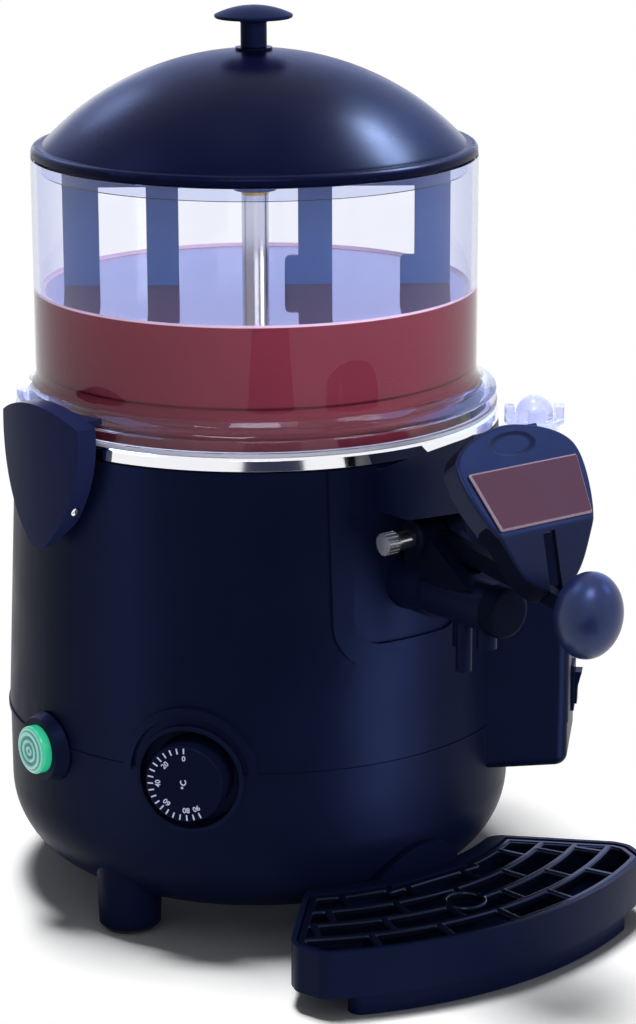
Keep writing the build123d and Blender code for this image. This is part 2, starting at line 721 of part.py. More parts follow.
plunger -= block((-yoke_room, yoke_room), yoke_span, (finger_tip - 1.5, tap_height + 9))
plunger_seal = bar_front(tap_height, seat_bore + 1.4, seal_face, seal_face + seal_length)
plunger_seal -= bar_front(tap_height, seat_bore / 2, seal_face - 1, seal_face + seal_length + 1)
return_spring = bar_front(tap_height, barrel_bore - 1, spring_end - spring_length, spring_end)
return_spring -= bar_front(tap_height, rod_radius + 0.6, spring_end - spring_length - 1, spring_end + 1)
tap_end_cap = bar_front(tap_height, end_cap_radius, barrel_end, cap_end)
tap_end_cap = fillet(tap_end_cap.edges().group_by(Axis.Y)[0], 3)
tap_end_cap += bar_front(tap_height, barrel_bore, spring_end, barrel_end)
tap_end_cap -= bar_front(tap_height, rod_radius + running, spring_end - 1, cap_end - 2.5)

# Lever, egg-shaped grip, pivot pin with knurled head, clip
grip_height = tap_height + grip_above_tap
hub_radius = boss_radius - 1
lever = bar_across(pivot_forward, pivot_height, hub_radius, -lever_width / 2, lever_width / 2)
lever_arm = [(pivot_forward, pivot_height + 5), (grip_forward - 4, grip_height + 3.5),
             (grip_forward - 4, grip_height - 3.5), (pivot_forward, pivot_height - 5)]
lever += side_plate(lever_arm, lever_width / 2)
finger = [(pivot_forward - finger_half - 1, pivot_height), (pivot_forward - finger_half, finger_tip),
          (pivot_forward + finger_half, finger_tip), (pivot_forward + finger_half + 1, pivot_height)]
lever += side_plate(finger, finger_width)
lever -= bar_across(pivot_forward, pivot_height, pivot_radius + running, -lever_width, lever_width)
lever_knob = scale(Sphere(1), by=(grip_radius, grip_radius, grip_half_height))
lever_knob = Pos(0, -grip_forward, grip_height) * Rot(grip_lean, 0, 0) * lever_knob
lever_knob -= lever
head_near = -boss_half - 0.5
head_step = head_near - 10.5
head_far = head_near - 17.5
head_radius = pivot_radius + 2.6
clip_thickness = 1.2
clip_near = boss_half + 0.3
pivot_pin = bar_across(pivot_forward, pivot_height, pivot_radius, head_near, clip_near + 3)
pivot_pin += bar_across(pivot_forward, pivot_height, pivot_radius + 1.6, head_step, head_near)
pin_head = bar_across(pivot_forward, pivot_height, head_radius, head_far, head_step)
for step in range(16):
    turn = 2 * math.pi * step / 16
    forward = pivot_forward + head_radius * math.cos(turn)
    height = pivot_height + head_radius * math.sin(turn)
    pin_head -= bar_across(forward, height, 0.7, head_far - 1, head_step + 1)
pivot_pin += pin_head
clip_far = clip_near + clip_thickness
pin_clip = bar_across(pivot_forward, pivot_height, pivot_radius + 2.4, clip_near, clip_far)
pin_clip -= bar_across(pivot_forward, pivot_height, pivot_radius, clip_near - 1, clip_far + 1)

# Hood: pick-shaped shield on a channel that is fixed to the shell
tilt = math.radians(hood_tilt)
hood_height = tap_height + hood_above_tap
hood_normal = (0, -math.cos(tilt), math.sin(tilt))
hood_plane = Plane(origin=(0, -hood_forward, hood_height), x_dir=(1, 0, 0), z_dir=hood_normal)


def hood_spot(rise, depth):
    """(forward, height) of a point of the shield, rise along it and depth behind its face."""
    forward = hood_forward - rise * math.sin(tilt) - depth * math.cos(tilt)
    return (forward, hood_height + rise * math.cos(tilt) - depth * math.sin(tilt))


def hood_outline(inset):
    """Outline of the shield, drawn inward by inset."""
    across = hood_half - inset
    up = hood_crown - inset
    down = hood_length - inset
    right = [(0.72, 0.69 * up), (0.97, 0.28 * up), (1.0, -0.06 * down), (0.94, -0.27 * down),
             (0.83, -0.47 * down), (0.67, -0.66 * down), (0.415, -0.885 * down)]
    points = [(0, up)]
    points += [(share * across, rise) for share, rise in right]
    points += [(0, -down)]
    points += [(-share * across, rise) for share, rise in reversed(right)]
    return make_face(Spline(*points, periodic=True).edges())


hood_beyond = 9.0
bend_drop = (hood_length + hood_beyond - bend_start) * math.tan(math.radians(bend_turn))
hood_deep = hood_depth + bend_drop + hood_beyond


def hood_slab(near, far):
    """Slab across the shield between two depths behind its face, which bends back below the label."""
    high = hood_crown + hood_beyond
    low = -hood_length - hood_beyond
    corners = [(high, -near), (-bend_start, -near), (low, -near - bend_drop),
               (low, -far - bend_drop), (-bend_start, -far), (high, -far)]
    points = [(-2 * hood_half, rise, out) for rise, out in corners]
    return extrude(make_face(Polyline(*points, close=True).edges()), amount=4 * hood_half, dir=(1, 0, 0))


def hood_prism(inset):
    """Long prism of the shield's outline, drawn inward by inset."""
    return extrude(Pos(0, 0, -hood_deep) * hood_outline(inset), amount=hood_deep + 1, dir=(0, 0, 1))


face_slab = hood_slab(0, hood_depth)
face_slab = fillet(face_slab.edges().filter_by(Axis.X).sort_by_distance((0, -bend_start, 0))[0], bend_round)
shield = hood_prism(0) & face_slab
front_faces = [face for face in shield.faces() if face.normal_at().Z > 0.7]
front_edges = ShapeList(edge for face in front_faces for edge in face.edges())
shield = fillet(front_edges.filter_by(Axis.X, reverse=True), hood_edge)
shield -= hood_prism(hood_wall) & hood_slab(hood_wall, hood_deep)
dish_far = 6.0
dish_share = math.sqrt(1 - ((dish_far - dish_depth) / dish_far) ** 2)
dish = scale(Sphere(1), by=(dish_half / dish_share, dish_rise / dish_share, dish_far))
shield -= Pos(0, hood_crown * 0.52, dish_far - dish_depth) * dish
slot_reach = (-hood_length - hood_beyond, -slot_start)
shield -= block((-slot_width / 2, slot_width / 2), slot_reach, (-hood_deep, 1))
neck_back = shell_top_radius - 6
neck_low = tap_height + 38
neck_top = shell_top - 1.5
bend_forward = pivot_forward
bend_height = shell_top + 7
neck = side_plate([(neck_back, neck_low), (neck_back, neck_top), (bead_radius + 1.2, neck_top),
                   (bend_forward, bend_height), hood_spot(hood_crown - 1, hood_wall + 4),
                   hood_spot(hood_crown - 2, 1), hood_spot(-12, 1), hood_spot(-16, hood_wall + 4),
                   (pivot_forward + 4, neck_low)], neck_half)
neck_web = shell_radius(hood_screw_height) + 6
neck -= side_plate([(neck_web, neck_low - 9), (neck_web, neck_top - 3),
                    (bend_forward, bend_height - 3), hood_spot(hood_crown - 4, hood_wall + 4),
                    hood_spot(hood_crown - 4.5, hood_wall), hood_spot(-40, hood_wall),
                    hood_spot(-70, hood_wall)], neck_half - hood_wall)
neck -= shell_body(0.05, seam, shell_top + 1)
tap_hood = hood_plane.location * shield + neck
label_corners = [(-label_top_half, 0), (label_top_half, 0),
                 (label_low_half, -label_height), (-label_low_half, -label_height)]
hood_plate = make_face(Polyline(*label_corners, close=True).edges())
hood_plate = fillet(hood_plate.vertices(), 1.2)
hood_plate = extrude(hood_plate, amount=label_thickness, dir=(0, 0, 1))
hood_plate = chamfer(hood_plate.edges().group_by(Axis.Z)[-1], label_thickness / 2)
hood_plate = hood_plane.location * hood_plate
hood_screws = []
screw_wall = shell_radius(hood_screw_height)
screw_face = math.sqrt((screw_wall - wall) ** 2 - (hood_screw_x + screw_head) ** 2) - 0.1
for x in (-hood_screw_x, hood_screw_x):
    shank = bar_front(hood_screw_height, screw_radius, screw_face - 1.5, screw_wall + 5)
    head = bar_front(hood_screw_height, screw_head - 0.5, screw_face - 1.5, screw_face)
    blind_hole = bar_front(hood_screw_height, screw_radius, base_radius - 20, screw_wall + 5.5)
    tap_hood -= Pos(x, 0, 0) * blind_hole
    hood_screws.append(Pos(x, 0, 0) * (shank + head))

# Latches: leaf-shaped covers that hook over the bowl flange, on pins in brackets
leaf_top = flange_top + 10.5
leaf_corner = flange_top + 2
leaf_tip = latch_pin_height - 22


def leaf_prism(inset):
    """Leaf outline seen from the side of the machine, drawn inward by inset and made long along X."""
    half = latch_half - inset
    corner = leaf_corner - inset
    tip = leaf_tip + inset
    drop = corner - tip
    path = [
        ThreePointArc((-half, corner), (0, leaf_top - inset), (half, corner)),
        ThreePointArc((half, corner), (half * 0.87, corner - drop * 0.49), (half * 0.24, tip + 3)),
        ThreePointArc((half * 0.24, tip + 3), (0, tip), (-half * 0.24, tip + 3)),
        ThreePointArc((-half * 0.24, tip + 3), (-half * 0.87, corner - drop * 0.49), (-half, corner)),
    ]
    return facing(90, latch_inner - 25, 0).location * extrude(make_face(path), amount=50, dir=(0, 0, 1))


latch = collar(latch_reach, latch_inner, leaf_tip - 5, leaf_top + 5) & leaf_prism(0)
latch -= disc(latch_reach - latch_sheet, leaf_tip - 9, leaf_top + 9) & leaf_prism(latch_sheet)
lip_low = flange_top + 1.6
lip_ring = collar(latch_reach - 1, lip_inner, lip_low, lip_low + 2.8)
hook_half = latch_half - 6
latch += lip_ring & block((0, latch_reach + 9), (-hook_half, hook_half), (lip_low - 1, lip_low + 9))
heel = latch_pin_height - 7
heel_slope = 0.45
heel_low = leaf_tip - 9
heel_radius = latch_inner + heel_slope * (heel - heel_low)
latch -= turned([(0, heel_low), (heel_radius, heel_low), (latch_inner, heel), (0, heel)])
pin_plane = Plane(origin=(latch_pin_reach, 0, latch_pin_height), x_dir=(1, 0, 0), z_dir=(0, 1, 0))
pin_half = latch_half * 0.72 + 0.4
latch -= pin_plane.location * Cylinder(latch_pin_radius + running, 99)
bracket_half_width = latch_half * 0.4
bracket_width = (-bracket_half_width, bracket_half_width)
latch_bracket = block((shell_top_radius - 9, latch_pin_reach), bracket_width,
                      (latch_pin_height - 6, latch_pin_height + 12))
latch_bracket -= shell_body(0.05, seam, shell_top)
latch_bracket += pin_plane.location * Cylinder(latch_pin_radius + 1.1, 2 * bracket_half_width)
latch_bracket -= pin_plane.location * Cylinder(latch_pin_radius, 99)
latch_pin = pin_plane.location * Cylinder(latch_pin_radius, 2 * pin_half)
left_latch = mirror(latch, about=Plane.YZ)
left_bracket = mirror(latch_bracket, about=Plane.YZ)
left_pin = mirror(latch_pin, about=Plane.YZ)
to_left = Rot(0, 0, left_latch_turn)
to_right = Rot(0, 0, right_latch_turn)

# Dial in its recess, thermostat with bulb, safety cut-out
cup_floor = base_radius - 10.5
cup_floor_thickness = 3.0
cup_wall = 2.5
dial_face = base_radius + dial_proud
spindle_radius = 3.0
cup_back = cup_floor - cup_floor_thickness
dial_cup = bar_out(dial_angle, dial_height, dial_cup_radius, cup_back, base_radius + 9)
dial_cup -= bar_out(dial_angle, dial_height, dial_cup_radius - cup_wall, cup_floor, base_radius + 10)
dial_cup -= bar_out(dial_angle, dial_height, spindle_radius + running, cup_floor - 9, cup_floor + 9)
dial_cup = dial_cup & disc(base_radius + seam_step + lip + 0.6, seam - 60, seam + 60)
dial = facing(dial_angle, cup_floor + 1, dial_height).location * Cone(
    dial_radius, dial_radius - 0.7, dial_face - cup_floor - 1, align=upward)
dial = chamfer(dial.edges().sort_by_distance(facing(dial_angle, dial_face, dial_height).origin)[0], 0.8)
dial += bar_out(dial_angle, dial_height, spindle_radius, cup_floor - 14, cup_floor + 2)
thermostat_front = cup_back
thermostat = facing(dial_angle, thermostat_front - 11, dial_height).location * Box(34, 34, 22)
spindle_room = spindle_radius + running
thermostat -= bar_out(dial_angle, dial_height, spindle_room, thermostat_front - 12, thermostat_front + 2)
bulb_start = Plane(origin=(-30, -54, tank_under - 4.2), x_dir=(0, 1, 0), z_dir=(1, 0, 0))
thermostat_bulb = bulb_start * Cylinder(4, 60, align=upward)
heat_cutout = Pos(-62, 12, 0) * (disc(11, tank_under - 7, tank_under) + disc(6, tank_under - 12, tank_under))

# Push-button with lens, bezel and switch body
bezel_seat = base_radius + seam_step + lip + 0.1
body_face = base_radius - 6.5
lens_face = base_radius + lens_proud
bezel_face = base_radius + 7
switch_bezel = facing(switch_angle, base_radius - 4, switch_height).location * Cone(
    bezel_radius + 1, bezel_radius - 3, bezel_face - base_radius + 4, align=upward)
switch_bezel -= disc(bezel_seat, seam - 40, seam + 40)
switch_bezel += bar_out(switch_angle, switch_height, switch_hole_radius, body_face, bezel_seat + 1)
lens_room = lens_radius + running * 2
lens_back = body_face + button_travel + 0.5
switch_bezel -= bar_out(switch_angle, switch_height, lens_room, body_face - 1, bezel_face + 9)
push_button = bar_out(switch_angle, switch_height, lens_radius, lens_back, lens_face)
push_button = fillet(push_button.edges().group_by(Axis.X)[0], 2)
push_button += bar_out(switch_angle, switch_height, 4, body_face - 8, body_face + button_travel + 1)
switch_body = bar_out(switch_angle, switch_height, switch_hole_radius, body_face - 22, body_face)
switch_body -= bar_out(switch_angle, switch_height, 4 + running * 2, body_face - 12, body_face + 1)

# Rocker and frame on the outer face of the side box
opening_half = rocker_half_height + 0.9
frame_half_width = rocker_half_width + 1.5
frame_half_height = rocker_half_height + 2.2
rocker_tip = 8.0
rocker_frame = Pos(0, 0, 0.8) * Box(2 * frame_half_width + 2.4, 2 * frame_half_height + 2.4, 1.6)
rocker_frame += Pos(0, 0, -7) * Box(2 * frame_half_width, 2 * frame_half_height, 14)
rocker_frame -= Box(2 * rocker_half_width + 2 * clearance, 2 * opening_half, 22)
trunnion = 1.2
rocker_frame -= Rot(0, 90, 0) * Cylinder(trunnion + running, 2 * rocker_half_width + 2.5)
rocker_frame = rocker_plane.location * rocker_frame
side = rocker_half_height
rocker_outline = [(-side, 4.2), (0, 3.2), (side, 4.2), (side - 1.5, -5), (-side + 1.5, -5)]
rocker_points = [(-rocker_half_width, up, out) for up, out in rocker_outline]
rocker_face = make_face(Polyline(*rocker_points, close=True).edges())
rocker = extrude(rocker_face, amount=2 * rocker_half_width, dir=(1, 0, 0))
rocker += Rot(0, 90, 0) * Cylinder(trunnion, 2 * rocker_half_width + 2.3)
rocker = rocker_plane.location * Rot(rocker_tip, 0, 0) * rocker

# Clear filler cap on the box: seat, neck, grip with four lugs; and the funnel that leads into the tank
cap_plate = 2.2
neck_radius = filler_hole_radius - clearance
filler_cap = disc(cap_radius, box_top, box_top + cap_plate)
filler_cap += disc(cap_radius, cap_base, cap_base + cap_plate)
cap_dome = Pos(0, 0, cap_base + cap_height - grip_dome) * Sphere(grip_dome)
cap_dome += disc(grip_dome, cap_base, cap_base + cap_height - grip_dome)
filler_cap += cap_dome & disc(cap_radius, cap_base + 1, cap_base + cap_height + 9)
for angle in range(0, 360, 90):
    lug = block((cap_radius - lug_depth, cap_radius + 9), (-lug_half, lug_half),
                (cap_base, cap_base + lug_height))
    filler_cap += Rot(0, 0, angle + lug_turn) * lug & disc(cap_radius, cap_base, cap_base + lug_height)
filler_cap += disc(neck_radius, box_top - 6, cap_base + 1)
filler_cap -= disc(neck_radius - 1.8, box_top - 9, cap_base - 1)
filler_cap = at_filler * filler_cap
funnel_top = box_top - wall
funnel_low = pipe_height - pipe_radius - 3
filler_funnel = at_filler * disc(cap_radius, funnel_low, funnel_top)
filler_funnel += bar_out(box_angle, pipe_height, pipe_radius, tank_radius - 2, cap_distance - cap_radius + 3)
filler_funnel -= at_filler * disc(cap_radius - 1.6, funnel_low + 2, funnel_top + 1)
filler_funnel -= bar_out(box_angle, pipe_height, pipe_radius - 1.6, tank_radius - 9, cap_distance)

# Cord gland at the back and terminal block on the bottom plate
gland_face = base_radius + 5
cord_gland = bar_out(180, gland_height, 10, base_radius - 3, gland_face)
cord_gland -= disc(base_radius + 0.05, gland_height - 30, gland_height + 30)
cord_gland += bar_out(180, gland_height, gland_neck, base_radius - wall - 6, base_radius + 1)
cord_gland -= bar_out(180, gland_height, 4, base_radius - 30, gland_face + 9)
terminal_block = block((-20, 20), (36, 52), (underside, underside + 14))

# Drip tray: curved pan in front of the base, with a tab that leans on the base, and its grille
tip_turn = math.radians(29.4)
root_turn = math.radians(28.2)
front_x = tray_front * math.sin(tip_turn)
front_y = -tray_front * math.cos(tip_turn)
root_x = tray_back * math.sin(root_turn)
root_y = -tray_back * math.cos(root_turn)
horn_x = front_x + horn_out
horn_y = front_y + horn_back
side_x = front_x + side_out
side_y = front_y + side_back
tray_side = [(front_x, front_y), (horn_x, horn_y), (side_x, side_y), (root_x, root_y)]
foot_front = -math.sqrt((tray_front - foot_step) ** 2 - foot_half ** 2)
foot_side = [(foot_half, foot_front), (foot_root, foot_front + foot_run)]
beyond = 4 * tray_front


def tray_face(inset, side=tray_side):
    """Plan of the tray drawn inward by inset: ring around the base, cut off by straight sides."""
    face = Circle(tray_front - inset) - Circle(tray_back + inset)
    for start, end in zip(side, side[1:]):
        turn = math.degrees(math.atan2(end[1] - start[1], end[0] - start[0]))
        outside = Pos(*start) * Rot(0, 0, turn) * Pos(0, inset - beyond / 2) * Rectangle(2 * beyond, beyond)
        face -= outside
        face -= mirror(outside, about=Plane.YZ)
    spots = face.vertices().sort_by(Axis.Y)
    face = fillet(spots[:-2], tray_corner - inset)
    spots = face.vertices().sort_by(Axis.Y)
    return fillet(spots[-2:], root_corner - inset)


def tray_layer(inset, low, high, side=tray_side):
    """Slab of the tray plan, drawn inward by inset, between two heights."""
    return extrude(Pos(0, 0, low) * tray_face(inset, side), amount=high - low, dir=(0, 0, 1))


ledge = tray_height - grille_thickness - 0.5
drip_tray = tray_layer(0, tray_tier, tray_height)
drip_tray += tray_layer(foot_step, tray_lift, tray_tier + 1, foot_side)
shelf_radius = base_radius + shelf_gap
pan_radius = shelf_radius + 2
shelf = disc(shelf_radius, 0, tray_height + 9)
pan_back = disc(pan_radius, 0, tray_height + 9)
drip_tray -= tray_layer(tray_wall, ledge, tray_height + 1) - shelf
drip_tray -= tray_layer(tray_wall + 2, tray_tier + tray_wall, ledge + 1) - pan_back
foot_hollow = tray_layer(foot_step + tray_wall, tray_lift + tray_wall, tray_tier + tray_wall + 1, foot_side)
drip_tray -= foot_hollow - pan_back
tab_half = 25.0
tab_top = tray_height + 17
tab_face = make_face([
    Line((-tab_half, tray_height - 8), (tab_half, tray_height - 8)),
    Line((tab_half, tray_height - 8), (tab_half, tray_height + 2)),
    ThreePointArc((tab_half, tray_height + 2), (0, tab_top), (-tab_half, tray_height + 2)),
    Line((-tab_half, tray_height + 2), (-tab_half, tray_height - 8)),
])
tab_prism = facing(0, tray_back - 40, 0).location * extrude(tab_face, amount=60, dir=(0, 0, 1))
tray_tab = (base_body(4.2, seam) - base_body(0.8, seam)) & tab_prism
tab_front = -base_radius - 5.5
tab_foot = block((-tab_half, tab_half), (tab_front, root_y), (tray_tier, tray_height))
drip_tray += tray_layer(0, tray_tier, tray_height) & tab_foot
drip_tray += tray_tab

grille_inset = tray_wall + clearance
grille_back = shelf_radius + clearance
drip_grille = tray_layer(grille_inset, ledge, ledge + grille_thickness)
drip_grille -= disc(grille_back, 0, tray_height + 9)
hole_field = tray_face(grille_inset + bar_width)
hole_field -= Circle(grille_back + bar_width)
notch_field = tab_half + clearance + bar_width
hole_field -= Pos(0, (tab_front - clearance - bar_width + root_y) / 2, 0) * Rectangle(
    2 * notch_field, root_y - tab_front + clearance + bar_width)
first_row = tray_front - grille_inset - bar_width
row_step = (first_row - grille_back) / slot_rows
ring_hole = Pos(-tray_aside, -ring_forward, 0) * Circle(ring_radius - 3)
ring_disc = Pos(-tray_aside, -ring_forward, 0) * Circle(ring_radius)
holes = ring_hole
for row in range(slot_rows):
    outer = first_row - row * row_step
    inner = outer - row_step + bar_width
    band = Circle(outer) - Circle(inner)
    middle = (outer + inner) / 2
    pitch = math.degrees(rib_pitch / middle)
    for rib in range(-5, 6):
        angle = pitch * (rib + 0.5 * (row % 2))
        if abs(angle) < 48:
            band -= Rot(0, 0, angle) * Pos(0, -middle, 0) * Rectangle(bar_width, row_step * 1.5)
    holes += (band & hole_field) - ring_disc
drip_grille -= extrude(Pos(0, 0, ledge - 1) * holes, amount=grille_thickness + 2, dir=(0, 0, 1))
tab_notch = tab_half + clearance
drip_grille -= block((-tab_notch, tab_notch), (tab_front - clearance, root_y), (ledge - 1, tray_height + 1))
tray_spot = Pos(tray_aside, -tray_forward, 0)
drip_tray = tray_spot * drip_tray
drip_grille = tray_spot * drip_grille

# All pieces move together: origin under the middle of the whole machine
lean = math.radians(grip_lean)
grip_reach = math.hypot(grip_radius * math.cos(lean), grip_half_height * math.sin(lean))
front_reach = grip_forward + grip_reach
shift_x = (lens_face - latch_reach) / 2
shift_y = (front_reach - gland_face) / 2
placed = Pos(shift_x, shift_y, 0)

parts["base_shell"] = base_shell
parts["legs"] = Compound(legs)
parts["foot_pads"] = Compound(foot_pads)
parts["bottom_plate"] = bottom_plate
parts["bottom_screws"] = Compound(bottom_screws)
parts["upper_shell"] = upper_shell
parts["water_tank"] = tank
parts["bowl_gasket"] = bowl_gasket
parts["heating_element"] = heating_element
parts["bowl"] = bowl
parts["outlet_grommet"] = outlet_grommet
parts["chimney_tube"] = chimney_tube
parts["tube_nut"] = tube_nut
parts["bowl_seal"] = bowl_seal
parts["shaft_bushes"] = Compound(shaft_bushes)
parts["motor_bracket"] = motor_bracket
parts["bracket_posts"] = Compound(bracket_posts)
parts["gearbox"] = gearbox
parts["gear_motor"] = gear_motor
parts["output_shaft"] = output_shaft
parts["drive_shaft"] = drive_shaft
parts["shaft_coupling"] = shaft_coupling
parts["stirrer"] = stirrer
parts["stirrer_cap"] = stirrer_cap
parts["lid_dome"] = lid_dome
parts["lid_knob"] = lid_knob
parts["lid_screw"] = lid_screw
parts["tap_body"] = tap_body
parts["tap_gasket"] = tap_gasket
parts["plunger"] = plunger
parts["plunger_seal"] = plunger_seal
parts["return_spring"] = return_spring
parts["tap_end_cap"] = tap_end_cap
parts["lever"] = lever
parts["lever_knob"] = lever_knob
parts["pivot_pin"] = pivot_pin
parts["pin_clip"] = pin_clip
parts["tap_hood"] = tap_hood
parts["hood_plate"] = hood_plate
parts["hood_screws"] = Compound(hood_screws)
parts["right_latch"] = to_right * latch
parts["left_latch"] = to_left * left_latch
parts["latch_brackets"] = Compound([to_right * latch_bracket, to_left * left_bracket])
parts["latch_pins"] = Compound([to_right * latch_pin, to_left * left_pin])
parts["dial_cup"] = dial_cup
parts["dial"] = dial
parts["thermostat"] = thermostat
parts["thermostat_bulb"] = thermostat_bulb
parts["heat_cutout"] = heat_cutout
parts["switch_bezel"] = switch_bezel
parts["push_button"] = push_button
parts["switch_body"] = switch_body
parts["rocker_frame"] = rocker_frame
parts["rocker"] = rocker
parts["filler_cap"] = filler_cap
parts["filler_funnel"] = filler_funnel
parts["cord_gland"] = cord_gland
parts["terminal_block"] = terminal_block
parts["drip_tray"] = drip_tray
parts["drip_grille"] = drip_grille

for name, piece in parts.items():
    export_step(placed * piece, f"parts/{name}.step")
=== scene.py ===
"""Looks of a counter-top hot chocolate dispenser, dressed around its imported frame."""

import json
import logging
import math
from collections.abc import Callable
from dataclasses import dataclass
from enum import Enum

import bmesh
import bpy
from mathutils import Euler, Matrix, Vector

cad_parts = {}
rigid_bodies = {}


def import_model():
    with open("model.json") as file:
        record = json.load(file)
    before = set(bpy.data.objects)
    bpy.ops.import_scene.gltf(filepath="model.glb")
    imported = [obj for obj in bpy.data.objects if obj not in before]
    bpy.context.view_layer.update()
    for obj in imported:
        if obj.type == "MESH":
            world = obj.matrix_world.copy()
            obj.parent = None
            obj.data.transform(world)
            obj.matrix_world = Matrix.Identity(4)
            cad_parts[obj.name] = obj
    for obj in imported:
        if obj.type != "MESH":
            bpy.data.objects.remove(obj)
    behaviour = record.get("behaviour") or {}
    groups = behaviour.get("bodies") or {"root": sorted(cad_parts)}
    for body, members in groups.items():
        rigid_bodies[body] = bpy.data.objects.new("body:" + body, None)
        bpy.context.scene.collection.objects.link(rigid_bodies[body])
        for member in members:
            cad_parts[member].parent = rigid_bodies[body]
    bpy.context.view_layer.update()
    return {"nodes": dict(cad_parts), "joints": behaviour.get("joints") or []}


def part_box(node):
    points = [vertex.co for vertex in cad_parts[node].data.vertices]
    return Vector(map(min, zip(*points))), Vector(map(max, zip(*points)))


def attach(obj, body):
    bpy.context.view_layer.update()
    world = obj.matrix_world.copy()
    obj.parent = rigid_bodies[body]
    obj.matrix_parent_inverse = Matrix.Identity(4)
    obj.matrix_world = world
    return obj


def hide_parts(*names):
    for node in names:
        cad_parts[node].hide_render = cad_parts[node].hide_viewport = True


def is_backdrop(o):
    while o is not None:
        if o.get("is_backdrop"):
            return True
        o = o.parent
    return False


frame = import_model()

LOG = logging.getLogger("dispenser")
MM = 0.001
Triple = tuple[float, float, float]
Colour = Triple
Profile = list[tuple[float, float]]

# Octaves of a finish's noises, and the span of the noise that is spread over its roughness
PATCH_DETAIL = 3.0
GRAIN_DETAIL = 2.0
PATCH_SPAN = (0.3, 0.7)

# Span of the way from straight on to edge-on over which a clear wall deepens
LIMB_SPAN = (0.35, 0.95)

# Distances within which corners are one, turn within which faces are flat, least cosine of parallel edges
CAD_MERGE = 0.002 * MM
MERGE = 0.001 * MM
FLAT_TURN = math.radians(0.5)
PARALLEL = 0.9


class Body(str, Enum):
    """Moving bodies of the frame."""

    MACHINE = "machine"
    LID = "lid"
    STIRRER = "stirrer_unit"
    LEVER = "lever_unit"
    LEFT_LATCH = "left_latch_unit"
    RIGHT_LATCH = "right_latch_unit"
    DIAL = "dial_unit"
    BUTTON = "button_unit"
    ROCKER = "rocker_unit"
    TRAY = "tray_unit"
    GRILLE = "grille_unit"
    FILLER_CAP = "filler_cap_unit"


class Slot(str, Enum):
    """Material slots of the record."""

    BODY = "body_plastic"
    BLACK = "black_plastic"
    CLEAR = "clear_plastic"
    POLISHED = "polished_steel"
    STEEL = "steel"
    STIRRER = "stirrer_plastic"
    LABEL = "label"
    LENS = "lens"


